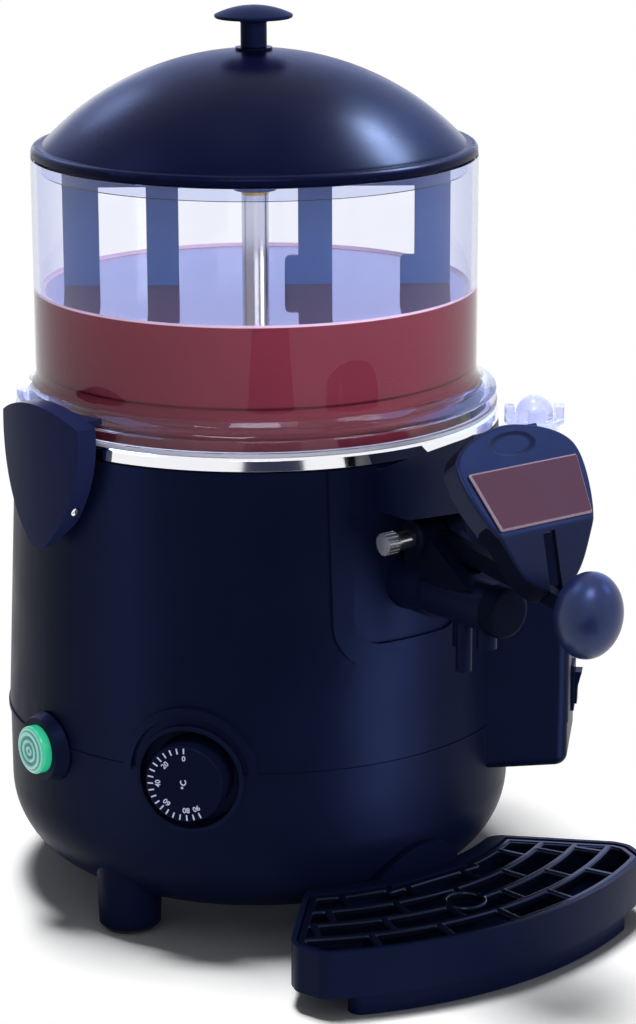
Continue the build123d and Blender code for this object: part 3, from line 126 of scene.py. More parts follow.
@dataclass(frozen=True)
class Finish:
    """A surface finish, made as a node material on object coordinates.

    Attributes:
        name: Name of the material.
        colour: Main colour, linear.
        drift: Colour that the main one drifts to in soft patches.
        patch: Patches of drift and gloss per metre.
        roughness: Least and greatest roughness.
        grain: Grains per metre.
        depth: Depth of the grain in metres.
        stretch: Factor on the object coordinates, so that the grain runs along an axis.
        metallic: Share of metal.
        specular: Level of the mirror part.
        tint: Colour of the mirror part.
        transmission: Share of light that goes through.
        ior: Index of refraction.
        glow: Strength of the surface's own light, in the main colour.
        limb: Colour where the surface is seen edge-on, for clear walls.
    """

    name: str
    colour: Colour
    drift: Colour
    patch: float
    roughness: tuple[float, float]
    grain: float
    depth: float
    stretch: Triple = (1.0, 1.0, 1.0)
    metallic: float = 0.0
    specular: float = 0.5
    tint: Colour = (1.0, 1.0, 1.0)
    transmission: float = 0.0
    ior: float = 1.5
    glow: float = 0.0
    limb: Colour | None = None

    def material(self) -> bpy.types.Material:
        """Makes the material, or finds it where it was made before.

        Returns:
            The node material.
        """
        made = bpy.data.materials.get(self.name)
        if made:
            return made
        made = bpy.data.materials.new(self.name)
        made.use_nodes = True
        tree = made.node_tree
        shader = tree.nodes["Principled BSDF"]
        place = tree.nodes.new("ShaderNodeTexCoord")
        mapping = tree.nodes.new("ShaderNodeMapping")
        mapping.inputs["Scale"].default_value = self.stretch
        tree.links.new(place.outputs["Object"], mapping.inputs["Vector"])
        patches = self.noise(tree, mapping, self.patch, PATCH_DETAIL)
        colour = tree.nodes.new("ShaderNodeMix")
        colour.data_type = "RGBA"
        colour.inputs["A"].default_value = (*self.colour, 1.0)
        colour.inputs["B"].default_value = (*self.drift, 1.0)
        tree.links.new(patches.outputs["Fac"], colour.inputs["Factor"])
        shade = self.deepened(tree, colour.outputs["Result"]) if self.limb else colour.outputs["Result"]
        tree.links.new(shade, shader.inputs["Base Color"])
        gloss = tree.nodes.new("ShaderNodeMapRange")
        gloss.inputs["From Min"].default_value, gloss.inputs["From Max"].default_value = PATCH_SPAN
        gloss.inputs["To Min"].default_value, gloss.inputs["To Max"].default_value = self.roughness
        tree.links.new(patches.outputs["Fac"], gloss.inputs["Value"])
        tree.links.new(gloss.outputs["Result"], shader.inputs["Roughness"])
        grains = self.noise(tree, mapping, self.grain, GRAIN_DETAIL)
        bump = tree.nodes.new("ShaderNodeBump")
        bump.inputs["Strength"].default_value = 1.0
        bump.inputs["Distance"].default_value = self.depth
        tree.links.new(grains.outputs["Fac"], bump.inputs["Height"])
        tree.links.new(bump.outputs["Normal"], shader.inputs["Normal"])
        self.settle(shader)
        return made

    def noise(self, tree: bpy.types.NodeTree, mapping: bpy.types.Node, scale: float,
              detail: float) -> bpy.types.Node:
        """Adds a noise on the mapped coordinates.

        Args:
            tree: Node tree of the material.
            mapping: Node that gives the coordinates.
            scale: Features per metre.
            detail: Octaves of the noise.

        Returns:
            The noise node.
        """
        noise = tree.nodes.new("ShaderNodeTexNoise")
        noise.inputs["Scale"].default_value = scale
        noise.inputs["Detail"].default_value = detail
        tree.links.new(mapping.outputs["Vector"], noise.inputs["Vector"])
        return noise

    def deepened(self, tree: bpy.types.NodeTree, plain: bpy.types.NodeSocket) -> bpy.types.NodeSocket:
        """Deepens the colour of a clear wall where light takes a long way through it.

        Args:
            tree: Node tree of the material.
            plain: Colour of the wall seen straight on.

        Returns:
            The socket with the deepened colour.
        """
        edge_on = tree.nodes.new("ShaderNodeLayerWeight")
        share = tree.nodes.new("ShaderNodeMapRange")
        share.inputs["From Min"].default_value, share.inputs["From Max"].default_value = LIMB_SPAN
        tree.links.new(edge_on.outputs["Facing"], share.inputs["Value"])
        mix = tree.nodes.new("ShaderNodeMix")
        mix.data_type = "RGBA"
        mix.inputs["B"].default_value = (*self.limb, 1.0)
        tree.links.new(share.outputs["Result"], mix.inputs["Factor"])
        tree.links.new(plain, mix.inputs["A"])
        return mix.outputs["Result"]

    def settle(self, shader: bpy.types.Node) -> None:
        """Sets what is the same all over the surface on the shader's own sockets.

        Args:
            shader: Principled shader of the material.
        """
        shader.inputs["Metallic"].default_value = self.metallic
        shader.inputs["Specular IOR Level"].default_value = self.specular
        shader.inputs["Specular Tint"].default_value = (*self.tint, 1.0)
        shader.inputs["Transmission Weight"].default_value = self.transmission
        shader.inputs["IOR"].default_value = self.ior
        shader.inputs["Emission Color"].default_value = (*self.colour, 1.0)
        shader.inputs["Emission Strength"].default_value = self.glow


NAVY_GLOSS = (0.45, 0.58, 1.0)
BODY_PLASTIC = Finish(
    "body_satin_plastic", (0.0026, 0.0043, 0.0175), (0.0031, 0.0050, 0.0196), 30.0, (0.30, 0.38), 2600.0,
    0.000010, specular=0.028, tint=NAVY_GLOSS)
HOOD_PLASTIC = Finish(
    "hood_satin_plastic", (0.0028, 0.0050, 0.0235), (0.0034, 0.0058, 0.0260), 36.0, (0.28, 0.36), 2600.0,
    0.000010, specular=0.24, tint=NAVY_GLOSS)
LID_PLASTIC = Finish(
    "lid_satin_plastic", (0.0013, 0.0020, 0.0148), (0.0017, 0.0025, 0.0166), 24.0, (0.26, 0.33), 2800.0,
    0.000008, specular=0.055, tint=NAVY_GLOSS)
KNOB_PLASTIC = Finish(
    "knob_satin_plastic", (0.0055, 0.0088, 0.0330), (0.0062, 0.0098, 0.0360), 40.0, (0.34, 0.42), 2600.0,
    0.000008, specular=0.02, tint=NAVY_GLOSS)
LATCH_PLASTIC = Finish(
    "latch_satin_plastic", (0.0085, 0.0120, 0.0460), (0.0095, 0.0132, 0.0500), 36.0, (0.28, 0.36), 2600.0,
    0.000010, specular=0.05, tint=NAVY_GLOSS)
SKIRT_PLASTIC = Finish(
    "lid_skirt_plastic", (0.700, 0.745, 0.910), (0.730, 0.775, 0.925), 24.0, (0.01, 0.03), 300.0,
    0.000001, transmission=1.0, ior=1.20)
BLACK_PLASTIC = Finish(
    "black_moulded_plastic", (0.0026, 0.0046, 0.0195), (0.0032, 0.0054, 0.0220), 45.0, (0.34, 0.44), 2200.0,
    0.000014, specular=0.06, tint=NAVY_GLOSS)
GRILLE_PLASTIC = Finish(
    "grille_gloss_plastic", (0.0016, 0.0026, 0.0080), (0.0022, 0.0034, 0.0100), 60.0, (0.14, 0.20), 1800.0,
    0.000008, specular=0.22, tint=NAVY_GLOSS)
GRIP_PLASTIC = Finish(
    "grip_satin_plastic", (0.0080, 0.0120, 0.0500), (0.0095, 0.0140, 0.0560), 60.0, (0.28, 0.34), 1800.0,
    0.000008, specular=0.60, tint=NAVY_GLOSS)
# Dull navy-black plastic of the lever, darkened further as painted shade; also painted on the tap's cheeks,
# its end cap and inside the hood and its slot as painted shade.
DULL_PLASTIC_AND_SHADE = Finish(
    "dull_plastic_and_painted_shade", (0.0013, 0.0020, 0.0078), (0.0018, 0.0026, 0.0095), 60.0, (0.50, 0.62), 1800.0,
    0.000014, specular=0.04, tint=NAVY_GLOSS)
STIRRER_PLASTIC = Finish(
    "stirrer_moulded_plastic", (0.019, 0.057, 0.205), (0.024, 0.064, 0.222), 50.0, (0.34, 0.46), 2000.0,
    0.000014, specular=0.3)
CLEAR_PLASTIC = Finish(
    "clear_bowl_plastic", (0.930, 0.942, 0.996), (0.940, 0.950, 0.998), 12.0, (0.0, 0.004), 140.0,
    0.0000004, transmission=1.0, ior=1.30, limb=(0.36, 0.41, 0.72))
CAP_PLASTIC = Finish(
    "clear_cap_plastic", (0.62, 0.65, 0.84), (0.70, 0.73, 0.90), 60.0, (0.08, 0.16), 300.0,
    0.000004, transmission=0.7, ior=1.45)
CHROME = Finish(
    "polished_rim_steel", (0.92, 0.92, 0.95), (0.86, 0.86, 0.90), 16.0, (0.05, 0.10), 240.0,
    0.000002, metallic=1.0)
TUBE_STEEL = Finish(
    "drawn_tube_steel", (0.64, 0.65, 0.73), (0.50, 0.51, 0.60), 160.0, (0.12, 0.22), 700.0,
    0.000003, stretch=(1.0, 1.0, 0.03), metallic=1.0)
PLAIN_STEEL = Finish(
    "plain_bright_steel", (0.66, 0.66, 0.70), (0.54, 0.54, 0.58), 90.0, (0.22, 0.36), 900.0,
    0.000005, metallic=1.0)
PIN_STEEL = Finish(
    "brushed_pin_steel", (0.84, 0.84, 0.90), (0.74, 0.74, 0.80), 120.0, (0.18, 0.26), 900.0, 0.000004,
    metallic=1.0)
SILICONE = Finish(
    "pale_silicone", (0.400, 0.400, 0.500), (0.460, 0.460, 0.560), 70.0, (0.45, 0.60), 1600.0, 0.00002,
    specular=0.3)
RUBBER = Finish(
    "dull_rubber", (0.012, 0.012, 0.015), (0.018, 0.018, 0.021), 70.0, (0.70, 0.85), 1600.0, 0.00003,
    specular=0.2)
BRASS = Finish(
    "turned_brass", (0.55, 0.36, 0.11), (0.44, 0.28, 0.08), 120.0, (0.24, 0.38), 900.0, 0.000004,
    metallic=1.0)
MOTOR_PAINT = Finish(
    "motor_paint", (0.035, 0.035, 0.042), (0.050, 0.050, 0.058), 60.0, (0.40, 0.55), 1200.0, 0.00002)
LABEL_PLATE = Finish(
    "label_brown_plate", (0.058, 0.022, 0.034), (0.068, 0.027, 0.040), 40.0, (0.25, 0.36), 1500.0, 0.000008,
    specular=0.08)
# Paler colour of the label's slanted rim: a painted highlight of its lit bevel, all round.
LABEL_RIM_HIGHLIGHT = Finish(
    "label_rim_painted_highlight", (0.170, 0.120, 0.165), (0.210, 0.150, 0.205), 120.0, (0.30, 0.45), 1500.0, 0.000006)
PRINT_INK = Finish(
    "printed_pale_ink", (0.42, 0.42, 0.60), (0.52, 0.52, 0.70), 300.0, (0.45, 0.60), 2400.0, 0.000004)
LENS_GREEN = Finish(
    "lit_green_lens", (0.020, 0.480, 0.260), (0.060, 0.600, 0.360), 90.0, (0.08, 0.16), 900.0, 0.000006,
    transmission=0.25, ior=1.49, glow=0.22)
LENS_FACE = Finish(
    "pale_lens_face", (0.270, 0.560, 0.530), (0.340, 0.640, 0.600), 120.0, (0.08, 0.16), 900.0, 0.000006,
    glow=0.10)
# Darker green in the grooves between the lens's rings: painted shade.
LENS_GROOVE_SHADE = Finish(
    "lens_groove_painted_shade", (0.050, 0.300, 0.250), (0.070, 0.340, 0.290), 120.0, (0.20, 0.30), 900.0, 0.000006,
    glow=0.06)
CHOCOLATE = Finish(
    "hot_chocolate", (0.150, 0.024, 0.042), (0.132, 0.021, 0.036), 22.0, (0.50, 0.60), 16.0, 0.00005,
    specular=0.0)
CHOCOLATE_TOP = Finish(
    "hot_chocolate_top", (0.110, 0.018, 0.026), (0.095, 0.015, 0.022), 22.0, (0.03, 0.06), 16.0, 0.00008,
    ior=2.4)
# Pale lilac ring where the drink rises at the wall: a foam line, paled to lilac as painted highlight.
CHOCOLATE_FOAM_HIGHLIGHT = Finish(
    "hot_chocolate_foam_and_highlight", (0.600, 0.440, 0.600), (0.500, 0.340, 0.470), 180.0, (0.30, 0.45), 400.0, 0.00004)


def axis_spot() -> Vector:
    """Foot of the machine's upright axis, from the round lid knob."""
    low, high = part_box("lid_knob")
    return Vector(((low.x + high.x) / 2, (low.y + high.y) / 2, 0.0))


AXIS = axis_spot()


def joint_frame(name: str) -> tuple[Vector, Vector]:
    """Place and direction of a joint of the record.

    Args:
        name: Name of the joint.

    Returns:
        The joint's point in metres and its unit axis.
    """
    joint = next(row for row in frame["joints"] if row["name"] == name)
    return Vector(joint["pos_m"]), Vector(joint["axis"]).normalized()


def reach(node: str, origin: Vector, outward: Vector) -> float:
    """Farthest distance of a node from a point, along a direction.

    Args:
        node: Name of the node.
        origin: Point to measure from.
        outward: Unit direction.

    Returns:
        The distance in metres.
    """
    return max((vertex.co - origin).dot(outward) for vertex in frame["nodes"][node].data.vertices)


def facing(origin: Vector, outward: Vector) -> Matrix:
    """Frame that looks outward with its Y axis up as far as it can be.

    Args:
        origin: Where the frame sits.
        outward: Direction of its Z axis.

    Returns:
        The frame as a matrix.
    """
    ahead = outward.normalized()
    across = Vector((0.0, 0.0, 1.0)).cross(ahead).normalized()
    up = ahead.cross(across)
    turned = Matrix((across, up, ahead)).transposed().to_4x4()
    return Matrix.Translation(origin) @ turned


def dress(node: str, finish: Finish) -> None:
    """Gives a node of the frame its finish.

    Args:
        node: Name of the node.
        finish: Finish of its whole surface.
    """
    shape = frame["nodes"][node]
    shape.data.materials.clear()
    shape.data.materials.append(finish.material())
    LOG.info("dressed %s in %s", node, finish.name)


@dataclass
class SubAssembly:
    """Group of pieces of the machine that are made and dressed together."""

    def piece(self, name: str, shape: bmesh.types.BMesh, finish: Finish, body: Body,
              slot: Slot | None = None, crease: float = 32.0) -> bpy.types.Object:
        """Turns a finished bmesh into a piece that moves with a body.

        Args:
            name: Name of the piece.
            shape: Its shape in the frame, which is freed here.
            finish: Finish of its surface.
            body: Body that carries it.
            slot: Material slot of the record, where one fits; not used.
            crease: Angle in degrees past which an edge stays sharp.

        Returns:
            The new object.
        """
        mesh = bpy.data.meshes.new(name)
        shape.to_mesh(mesh)
        shape.free()
        mesh.shade_smooth()
        mesh.set_sharp_from_angle(angle=math.radians(crease))
        mesh.materials.append(finish.material())
        made = bpy.data.objects.new(name, mesh)
        bpy.context.scene.collection.objects.link(made)
        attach(made, body.value)
        LOG.info("built %s on %s", name, body.value)
        return made

    def rounded(self, node: str, name: str, width: float, finish: Finish, body: Body, slot: Slot,
                crease: float = 28.0, segments: int = 3, clamped: bool = True) -> bpy.types.Object:
        """Stands for a node with a copy whose sharp edges are rounded.

        Args:
            node: Node to copy and stand for.
            name: Name of the new piece.
            width: Width of the rounding in millimetres.
            finish: Finish of its surface.
            body: Body that carries it.
            slot: Material slot of the record.
            crease: Angle in degrees past which an edge counts as sharp.
            segments: Steps across the rounding.
            clamped: Whether the rounding gets narrower where edges are close together.

        Returns:
            The new object.
        """
        shape = bmesh.new()
        shape.from_mesh(frame["nodes"][node].data)
        for layer in list(shape.loops.layers.uv.values()):
            shape.loops.layers.uv.remove(layer)
        bmesh.ops.remove_doubles(shape, verts=shape.verts, dist=CAD_MERGE)
        bmesh.ops.dissolve_limit(shape, angle_limit=FLAT_TURN, verts=shape.verts, edges=shape.edges)
        limit = math.radians(crease)
        sharp = [edge for edge in shape.edges if edge.is_manifold and edge.calc_face_angle() > limit]
        bmesh.ops.bevel(shape, geom=sharp, offset=width * MM, offset_type="OFFSET", segments=segments,
                        profile=0.5, affect="EDGES", clamp_overlap=clamped, material=-1)
        bmesh.ops.remove_doubles(shape, verts=shape.verts, dist=MERGE)
        made = self.piece(name, shape, finish, body, slot)
        weighted = made.modifiers.new("flat_faces", "WEIGHTED_NORMAL")
        weighted.keep_sharp = True
        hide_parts(node)
        return made

    def repaint(self, made: bpy.types.Object, finish: Finish,
                chosen: Callable[[bpy.types.MeshPolygon], bool]) -> None:
        """Gives some faces of a piece a finish of their own.

        Args:
            made: Piece whose faces are looked through.
            finish: Finish of the chosen faces.
            chosen: Test that says which faces take it.
        """
        made.data.materials.append(finish.material())
        last = len(made.data.materials) - 1
        for face in made.data.polygons:
            if chosen(face):
                face.material_index = last

    def turned(self, profile: Profile, steps: int, place: Matrix) -> bmesh.types.BMesh:
        """Turns a profile of (radius, height) points in millimetres about an upright axis.

        Args:
            profile: Points from the axis or back to the start, in order.
            steps: Steps of the full turn.
            place: Frame whose Z axis is the axis of the turn.

        Returns:
            The turned shape, with merged seams and outward normals.
        """
        shape = bmesh.new()
        spots = [shape.verts.new((radius * MM, 0.0, height * MM)) for radius, height in profile]
        chain = [shape.edges.new(pair) for pair in zip(spots, spots[1:])]
        bmesh.ops.spin(shape, geom=spots + chain, cent=(0.0, 0.0, 0.0), axis=(0.0, 0.0, 1.0),
                       dvec=(0.0, 0.0, 0.0), angle=math.tau, steps=steps, use_merge=True)
        bmesh.ops.remove_doubles(shape, verts=shape.verts, dist=MERGE)
        bmesh.ops.recalc_face_normals(shape, faces=shape.faces)
        bmesh.ops.transform(shape, matrix=place, verts=shape.verts)
        return shape


@dataclass
class Housing(SubAssembly):
    """Base, upper shell, legs, and what is fixed under and behind them.

    Attributes:
        shell_edge: Rounding of the shells' edges in millimetres.
    """

    shell_edge: float = 0.5

    def build(self) -> None:
        """Rounds the shells and dresses the small parts."""
        for node in ("upper_shell", "base_shell"):
            self.rounded(node, node + "_moulding", self.shell_edge, BODY_PLASTIC, Body.MACHINE, Slot.BODY)
        dress("legs", BODY_PLASTIC)
        dress("foot_pads", RUBBER)
        for node in ("bottom_plate", "bottom_screws", "thermostat_bulb"):
            dress(node, PLAIN_STEEL)
        for node in ("cord_gland", "terminal_block", "switch_body", "thermostat", "heat_cutout",
                     "filler_funnel"):
            dress(node, BLACK_PLASTIC)


@dataclass
class Drive(SubAssembly):
    """Motor, gearbox, shafts and heater under the bowl."""

    def build(self) -> None:
        """Dresses the drive's nodes."""
        for node in ("gearbox", "gear_motor"):
            dress(node, MOTOR_PAINT)
        for node in ("motor_bracket", "bracket_posts", "output_shaft", "drive_shaft", "shaft_coupling",
                     "tube_nut", "heating_element"):
            dress(node, PLAIN_STEEL)
        dress("shaft_bushes", BRASS)
        for node in ("outlet_grommet", "bowl_seal"):
            dress(node, RUBBER)


@dataclass
class BowlAssembly(SubAssembly):
    """Clear bowl with the drink in it, the polished tank rim and the tube in its middle.

    Attributes:
        edge: Rounding of the bowl's edges in millimetres.
        edge_crease: Angle in degrees past which an edge of the bowl is rounded.
        rim_edge: Rounding of the tank's rim.
        wall_radius: Inner radius of the bowl's wall.
        well_radius: Inner radius of the well below it.
        well_corner: Corner between the well's floor and its wall.
        floor: Height of the well's floor.
        ledge: Height of the step between well and wall.
        ledge_foot: How far below that height the step leaves the well.
        ledge_corner: How far below that height and inside the wall its corner starts.
        ledge_top: How far above that height its corner ends.
        level: Height of the drink.
        wetting: How far the drink reaches into the wall, so that no film of air shows between them.
        meniscus: Rise of the drink at the wall.
        meniscus_width: Width of that rise.
        meniscus_steps: Shares of that width where the rise has a ring of corners.
        meniscus_foot: How far above the level its pale edge of foam and painted highlight starts on the wall.
        rings: Shares of the radius where the level surface has a ring of corners.
        level_slack: How far below the level a face still counts as on top.
        level_facing: Least upward part of the normal of a level face.
        steps: Steps round the drink.
    """

    edge: float = 0.7
    edge_crease: float = 20.0
    rim_edge: float = 1.3
    wall_radius: float = 111.5
    well_radius: float = 103.0
    well_corner: float = 6.0
    floor: float = 175.0
    ledge: float = 283.5
    ledge_foot: float = 7.0
    ledge_corner: tuple[float, float] = (4.4, 2.0)
    ledge_top: float = 0.2
    level: float = 319.0
    wetting: float = 0.3
    meniscus: float = 1.4
    meniscus_width: float = 3.2
    meniscus_steps: tuple[float, ...] = (0.15, 0.35, 0.6, 0.85, 1.0)
    meniscus_foot: float = 0.1
    rings: tuple[float, ...] = (0.85, 0.6, 0.3)
    level_slack: float = 0.01
    level_facing: float = 0.999
    steps: int = 160

    def build(self) -> None:
        """Makes the bowl, rim and drink."""
        bowl = self.rounded("bowl", "clear_bowl", self.edge, CLEAR_PLASTIC, Body.MACHINE, Slot.CLEAR,
                            crease=self.edge_crease)
        bowl.visible_shadow = False
        self.rounded("water_tank", "tank_with_rim", self.rim_edge, CHROME, Body.MACHINE, Slot.POLISHED,
                     segments=4)
        dress("chimney_tube", TUBE_STEEL)
        dress("bowl_gasket", SILICONE)
        self.drink()

    def drink(self) -> None:
        """Fills the bowl up to its level, with a small rise at the wall that takes a pale foam line with
        painted highlight.
        """
        shape = self.turned(self.profile(), self.steps, Matrix.Translation(AXIS))
        drink = self.piece("hot_chocolate", shape, CHOCOLATE, Body.MACHINE)
        self.repaint(drink, CHOCOLATE_TOP,
                     lambda face: self.on_top(face) and face.normal.z > self.level_facing)
        # The rise at the wall takes the pale foam line with painted highlight.
        self.repaint(drink, CHOCOLATE_FOAM_HIGHLIGHT,
                     lambda face: self.on_top(face) and face.normal.z <= self.level_facing)

    def on_top(self, face: bpy.types.MeshPolygon) -> bool:
        """Whether a face of the drink lies at its level or above."""
        return face.center.z > (self.level - self.level_slack) * MM

    def profile(self) -> Profile:
        """Half outline of the drink, from the middle of its floor round to the middle of its surface.

        Returns:
            Points of (radius, height) in millimetres.
        """
        outer = self.wall_radius + self.wetting
        well = self.well_radius + self.wetting
        low = self.floor - self.wetting
        corner_drop, corner_width = self.ledge_corner
        points = [
            (0.0, low),
            (well - self.well_corner, low),
            (well, low + self.well_corner),
            (well, self.ledge - self.ledge_foot),
            (outer - corner_width, self.ledge - corner_drop),
            (outer, self.ledge + self.ledge_top),
            (outer, self.level + self.meniscus_foot),
            (outer, self.level + self.meniscus),
        ]
        for share in self.meniscus_steps:
            rise = self.meniscus * (1.0 - share) ** 2
            points.append((outer - self.meniscus_width * share, self.level + rise))
        points += [(outer * share, self.level) for share in self.rings]
        points.append((0.0, self.level))
        return points


@dataclass
class Stirrer(SubAssembly):
    """Stirrer blades on their hub.

    Attributes:
        edge: Rounding of the blades in millimetres.
    """

    edge: float = 0.7

    def build(self) -> None:
        """Rounds the blades and the cap on the hub."""
        self.rounded("stirrer", "stirrer_blades", self.edge, STIRRER_PLASTIC, Body.STIRRER, Slot.STIRRER)
        self.rounded("stirrer_cap", "stirrer_cap_nut", self.edge, STIRRER_PLASTIC, Body.STIRRER, Slot.STIRRER)


@dataclass
class Lid(SubAssembly):
    """Domed lid with its knob.

    Attributes:
        edge: Rounding of the lid's steps in millimetres.
    """

    edge: float = 0.8

    def build(self) -> None:
        """Rounds the lid and its knob, and makes the skirt inside the bowl clear."""
        dome = self.rounded("lid_dome", "domed_lid", self.edge, LID_PLASTIC, Body.LID, Slot.BODY)
        bowl_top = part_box("bowl")[1].z
        self.repaint(dome, SKIRT_PLASTIC, lambda face: face.center.z < bowl_top)
        self.rounded("lid_knob", "lid_grip", self.edge, KNOB_PLASTIC, Body.LID, Slot.BODY)
        dress("lid_screw", PLAIN_STEEL)


@dataclass
class Tap(SubAssembly):
    """Tap barrel, lever with its grip, and the pin they turn on.

    Attributes:
        edge: Rounding of the barrel's edges in millimetres.
        cheek_start: How far above the end cap the cheeks of the barrel start, where their painted shade
            begins.
    """

    edge: float = 0.6
    cheek_start: float = 1.0

    def build(self) -> None:
        """Rounds the tap's shells, with painted shade on the cheeks and the end cap, and dresses its inner
        parts.
        """
        barrel = self.rounded("tap_body", "tap_barrel", self.edge, BLACK_PLASTIC, Body.MACHINE, Slot.BLACK)
        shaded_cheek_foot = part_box("tap_end_cap")[1].z + self.cheek_start * MM
        # Cheeks above the barrel take the dark plastic as painted shade under the hood.
        self.repaint(barrel, DULL_PLASTIC_AND_SHADE, lambda face: face.center.z > shaded_cheek_foot)
        # The barrel's end cap takes the same dark plastic as painted shade.
        self.rounded("tap_end_cap", "tap_barrel_cap", self.edge, DULL_PLASTIC_AND_SHADE, Body.MACHINE, Slot.BLACK)
        # The lever's own dull black, darkened further as painted shade under the hood.
        self.rounded("lever", "lever_arm", self.edge, DULL_PLASTIC_AND_SHADE, Body.LEVER, Slot.BLACK)
        dress("lever_knob", GRIP_PLASTIC)
        dress("pivot_pin", PIN_STEEL)
        for node in ("pin_clip", "return_spring"):
            dress(node, PLAIN_STEEL)
        for node in ("tap_gasket", "plunger_seal"):
            dress(node, RUBBER)
        dress("plunger", BLACK_PLASTIC)


@dataclass
class Hood(SubAssembly):
    """Slotted hood over the tap with its bare label plate.

    Attributes:
        edge: Rounding of the hood's edges in millimetres.
        label_edge: Rounding of the label's edges.
        slot_half: Half width that holds the walls of the slot.
        slot_facing: Least sideways part of the normal of a slot's wall.
        inner_facing: Least downward or backward part of the normal of an inner face.
        rim_facing: Least and greatest forward part of the normal of the label's slanted rim, which takes the
            painted highlight.
    """

    edge: float = 0.7
    label_edge: float = 0.2
    slot_half: float = 7.0
    slot_facing: float = 0.7
    inner_facing: float = 0.3
    rim_facing: tuple[float, float] = (0.1, 0.95)

    def build(self) -> None:
        """Rounds the hood, with painted shade inside it and in its slot, and the label, whose slanted rim
        takes a painted highlight.
        """
        hood = self.rounded("tap_hood", "slotted_hood", self.edge, HOOD_PLASTIC, Body.MACHINE, Slot.BODY)
        # Inner faces and slot walls take the dark plastic as painted shade.
        self.repaint(hood, DULL_PLASTIC_AND_SHADE, self.inside)
        dress("hood_screws", PLAIN_STEEL)
        label = self.rounded("hood_plate", "bare_label", self.label_edge, LABEL_PLATE, Body.MACHINE,
                             Slot.LABEL)
        front = max(label.data.polygons, key=lambda face: (face.normal.z > 0.0) * face.area)
        outward = front.normal.copy()
        least, greatest = self.rim_facing
        # The slanted rim is painted paler as a painted highlight.
        self.repaint(label, LABEL_RIM_HIGHLIGHT, lambda face: least < face.normal.dot(outward) < greatest)

    def inside(self, face: bpy.types.MeshPolygon) -> bool:
        """Whether a face of the hood is on its inner side or on a wall of its slot.

        Args:
            face: Face of the hood.

        Returns:
            True for such a face.
        """
        near_slot = abs(face.center.x - AXIS.x) < self.slot_half * MM
        slot_wall = near_slot and abs(face.normal.x) > self.slot_facing
        return slot_wall or face.normal.z < -self.inner_facing or face.normal.y > self.inner_facing


@dataclass
class Latches(SubAssembly):
    """Two leaf-shaped latches that hold the bowl down.

    Attributes:
        edge: Rounding of the leaves in millimetres.
        pin_edge: Rounding of the pins' ends.
    """

    edge: float = 0.7
    pin_edge: float = 1.4

    def build(self) -> None:
        """Rounds the leaves and the ends of their pins."""
        for node, body in (("left_latch", Body.LEFT_LATCH), ("right_latch", Body.RIGHT_LATCH)):
            self.rounded(node, node + "_leaf", self.edge, LATCH_PLASTIC, body, Slot.BODY)
        dress("latch_brackets", BODY_PLASTIC)
        self.rounded("latch_pins", "latch_pin_rods", self.pin_edge, CHROME, Body.MACHINE, Slot.STEEL)


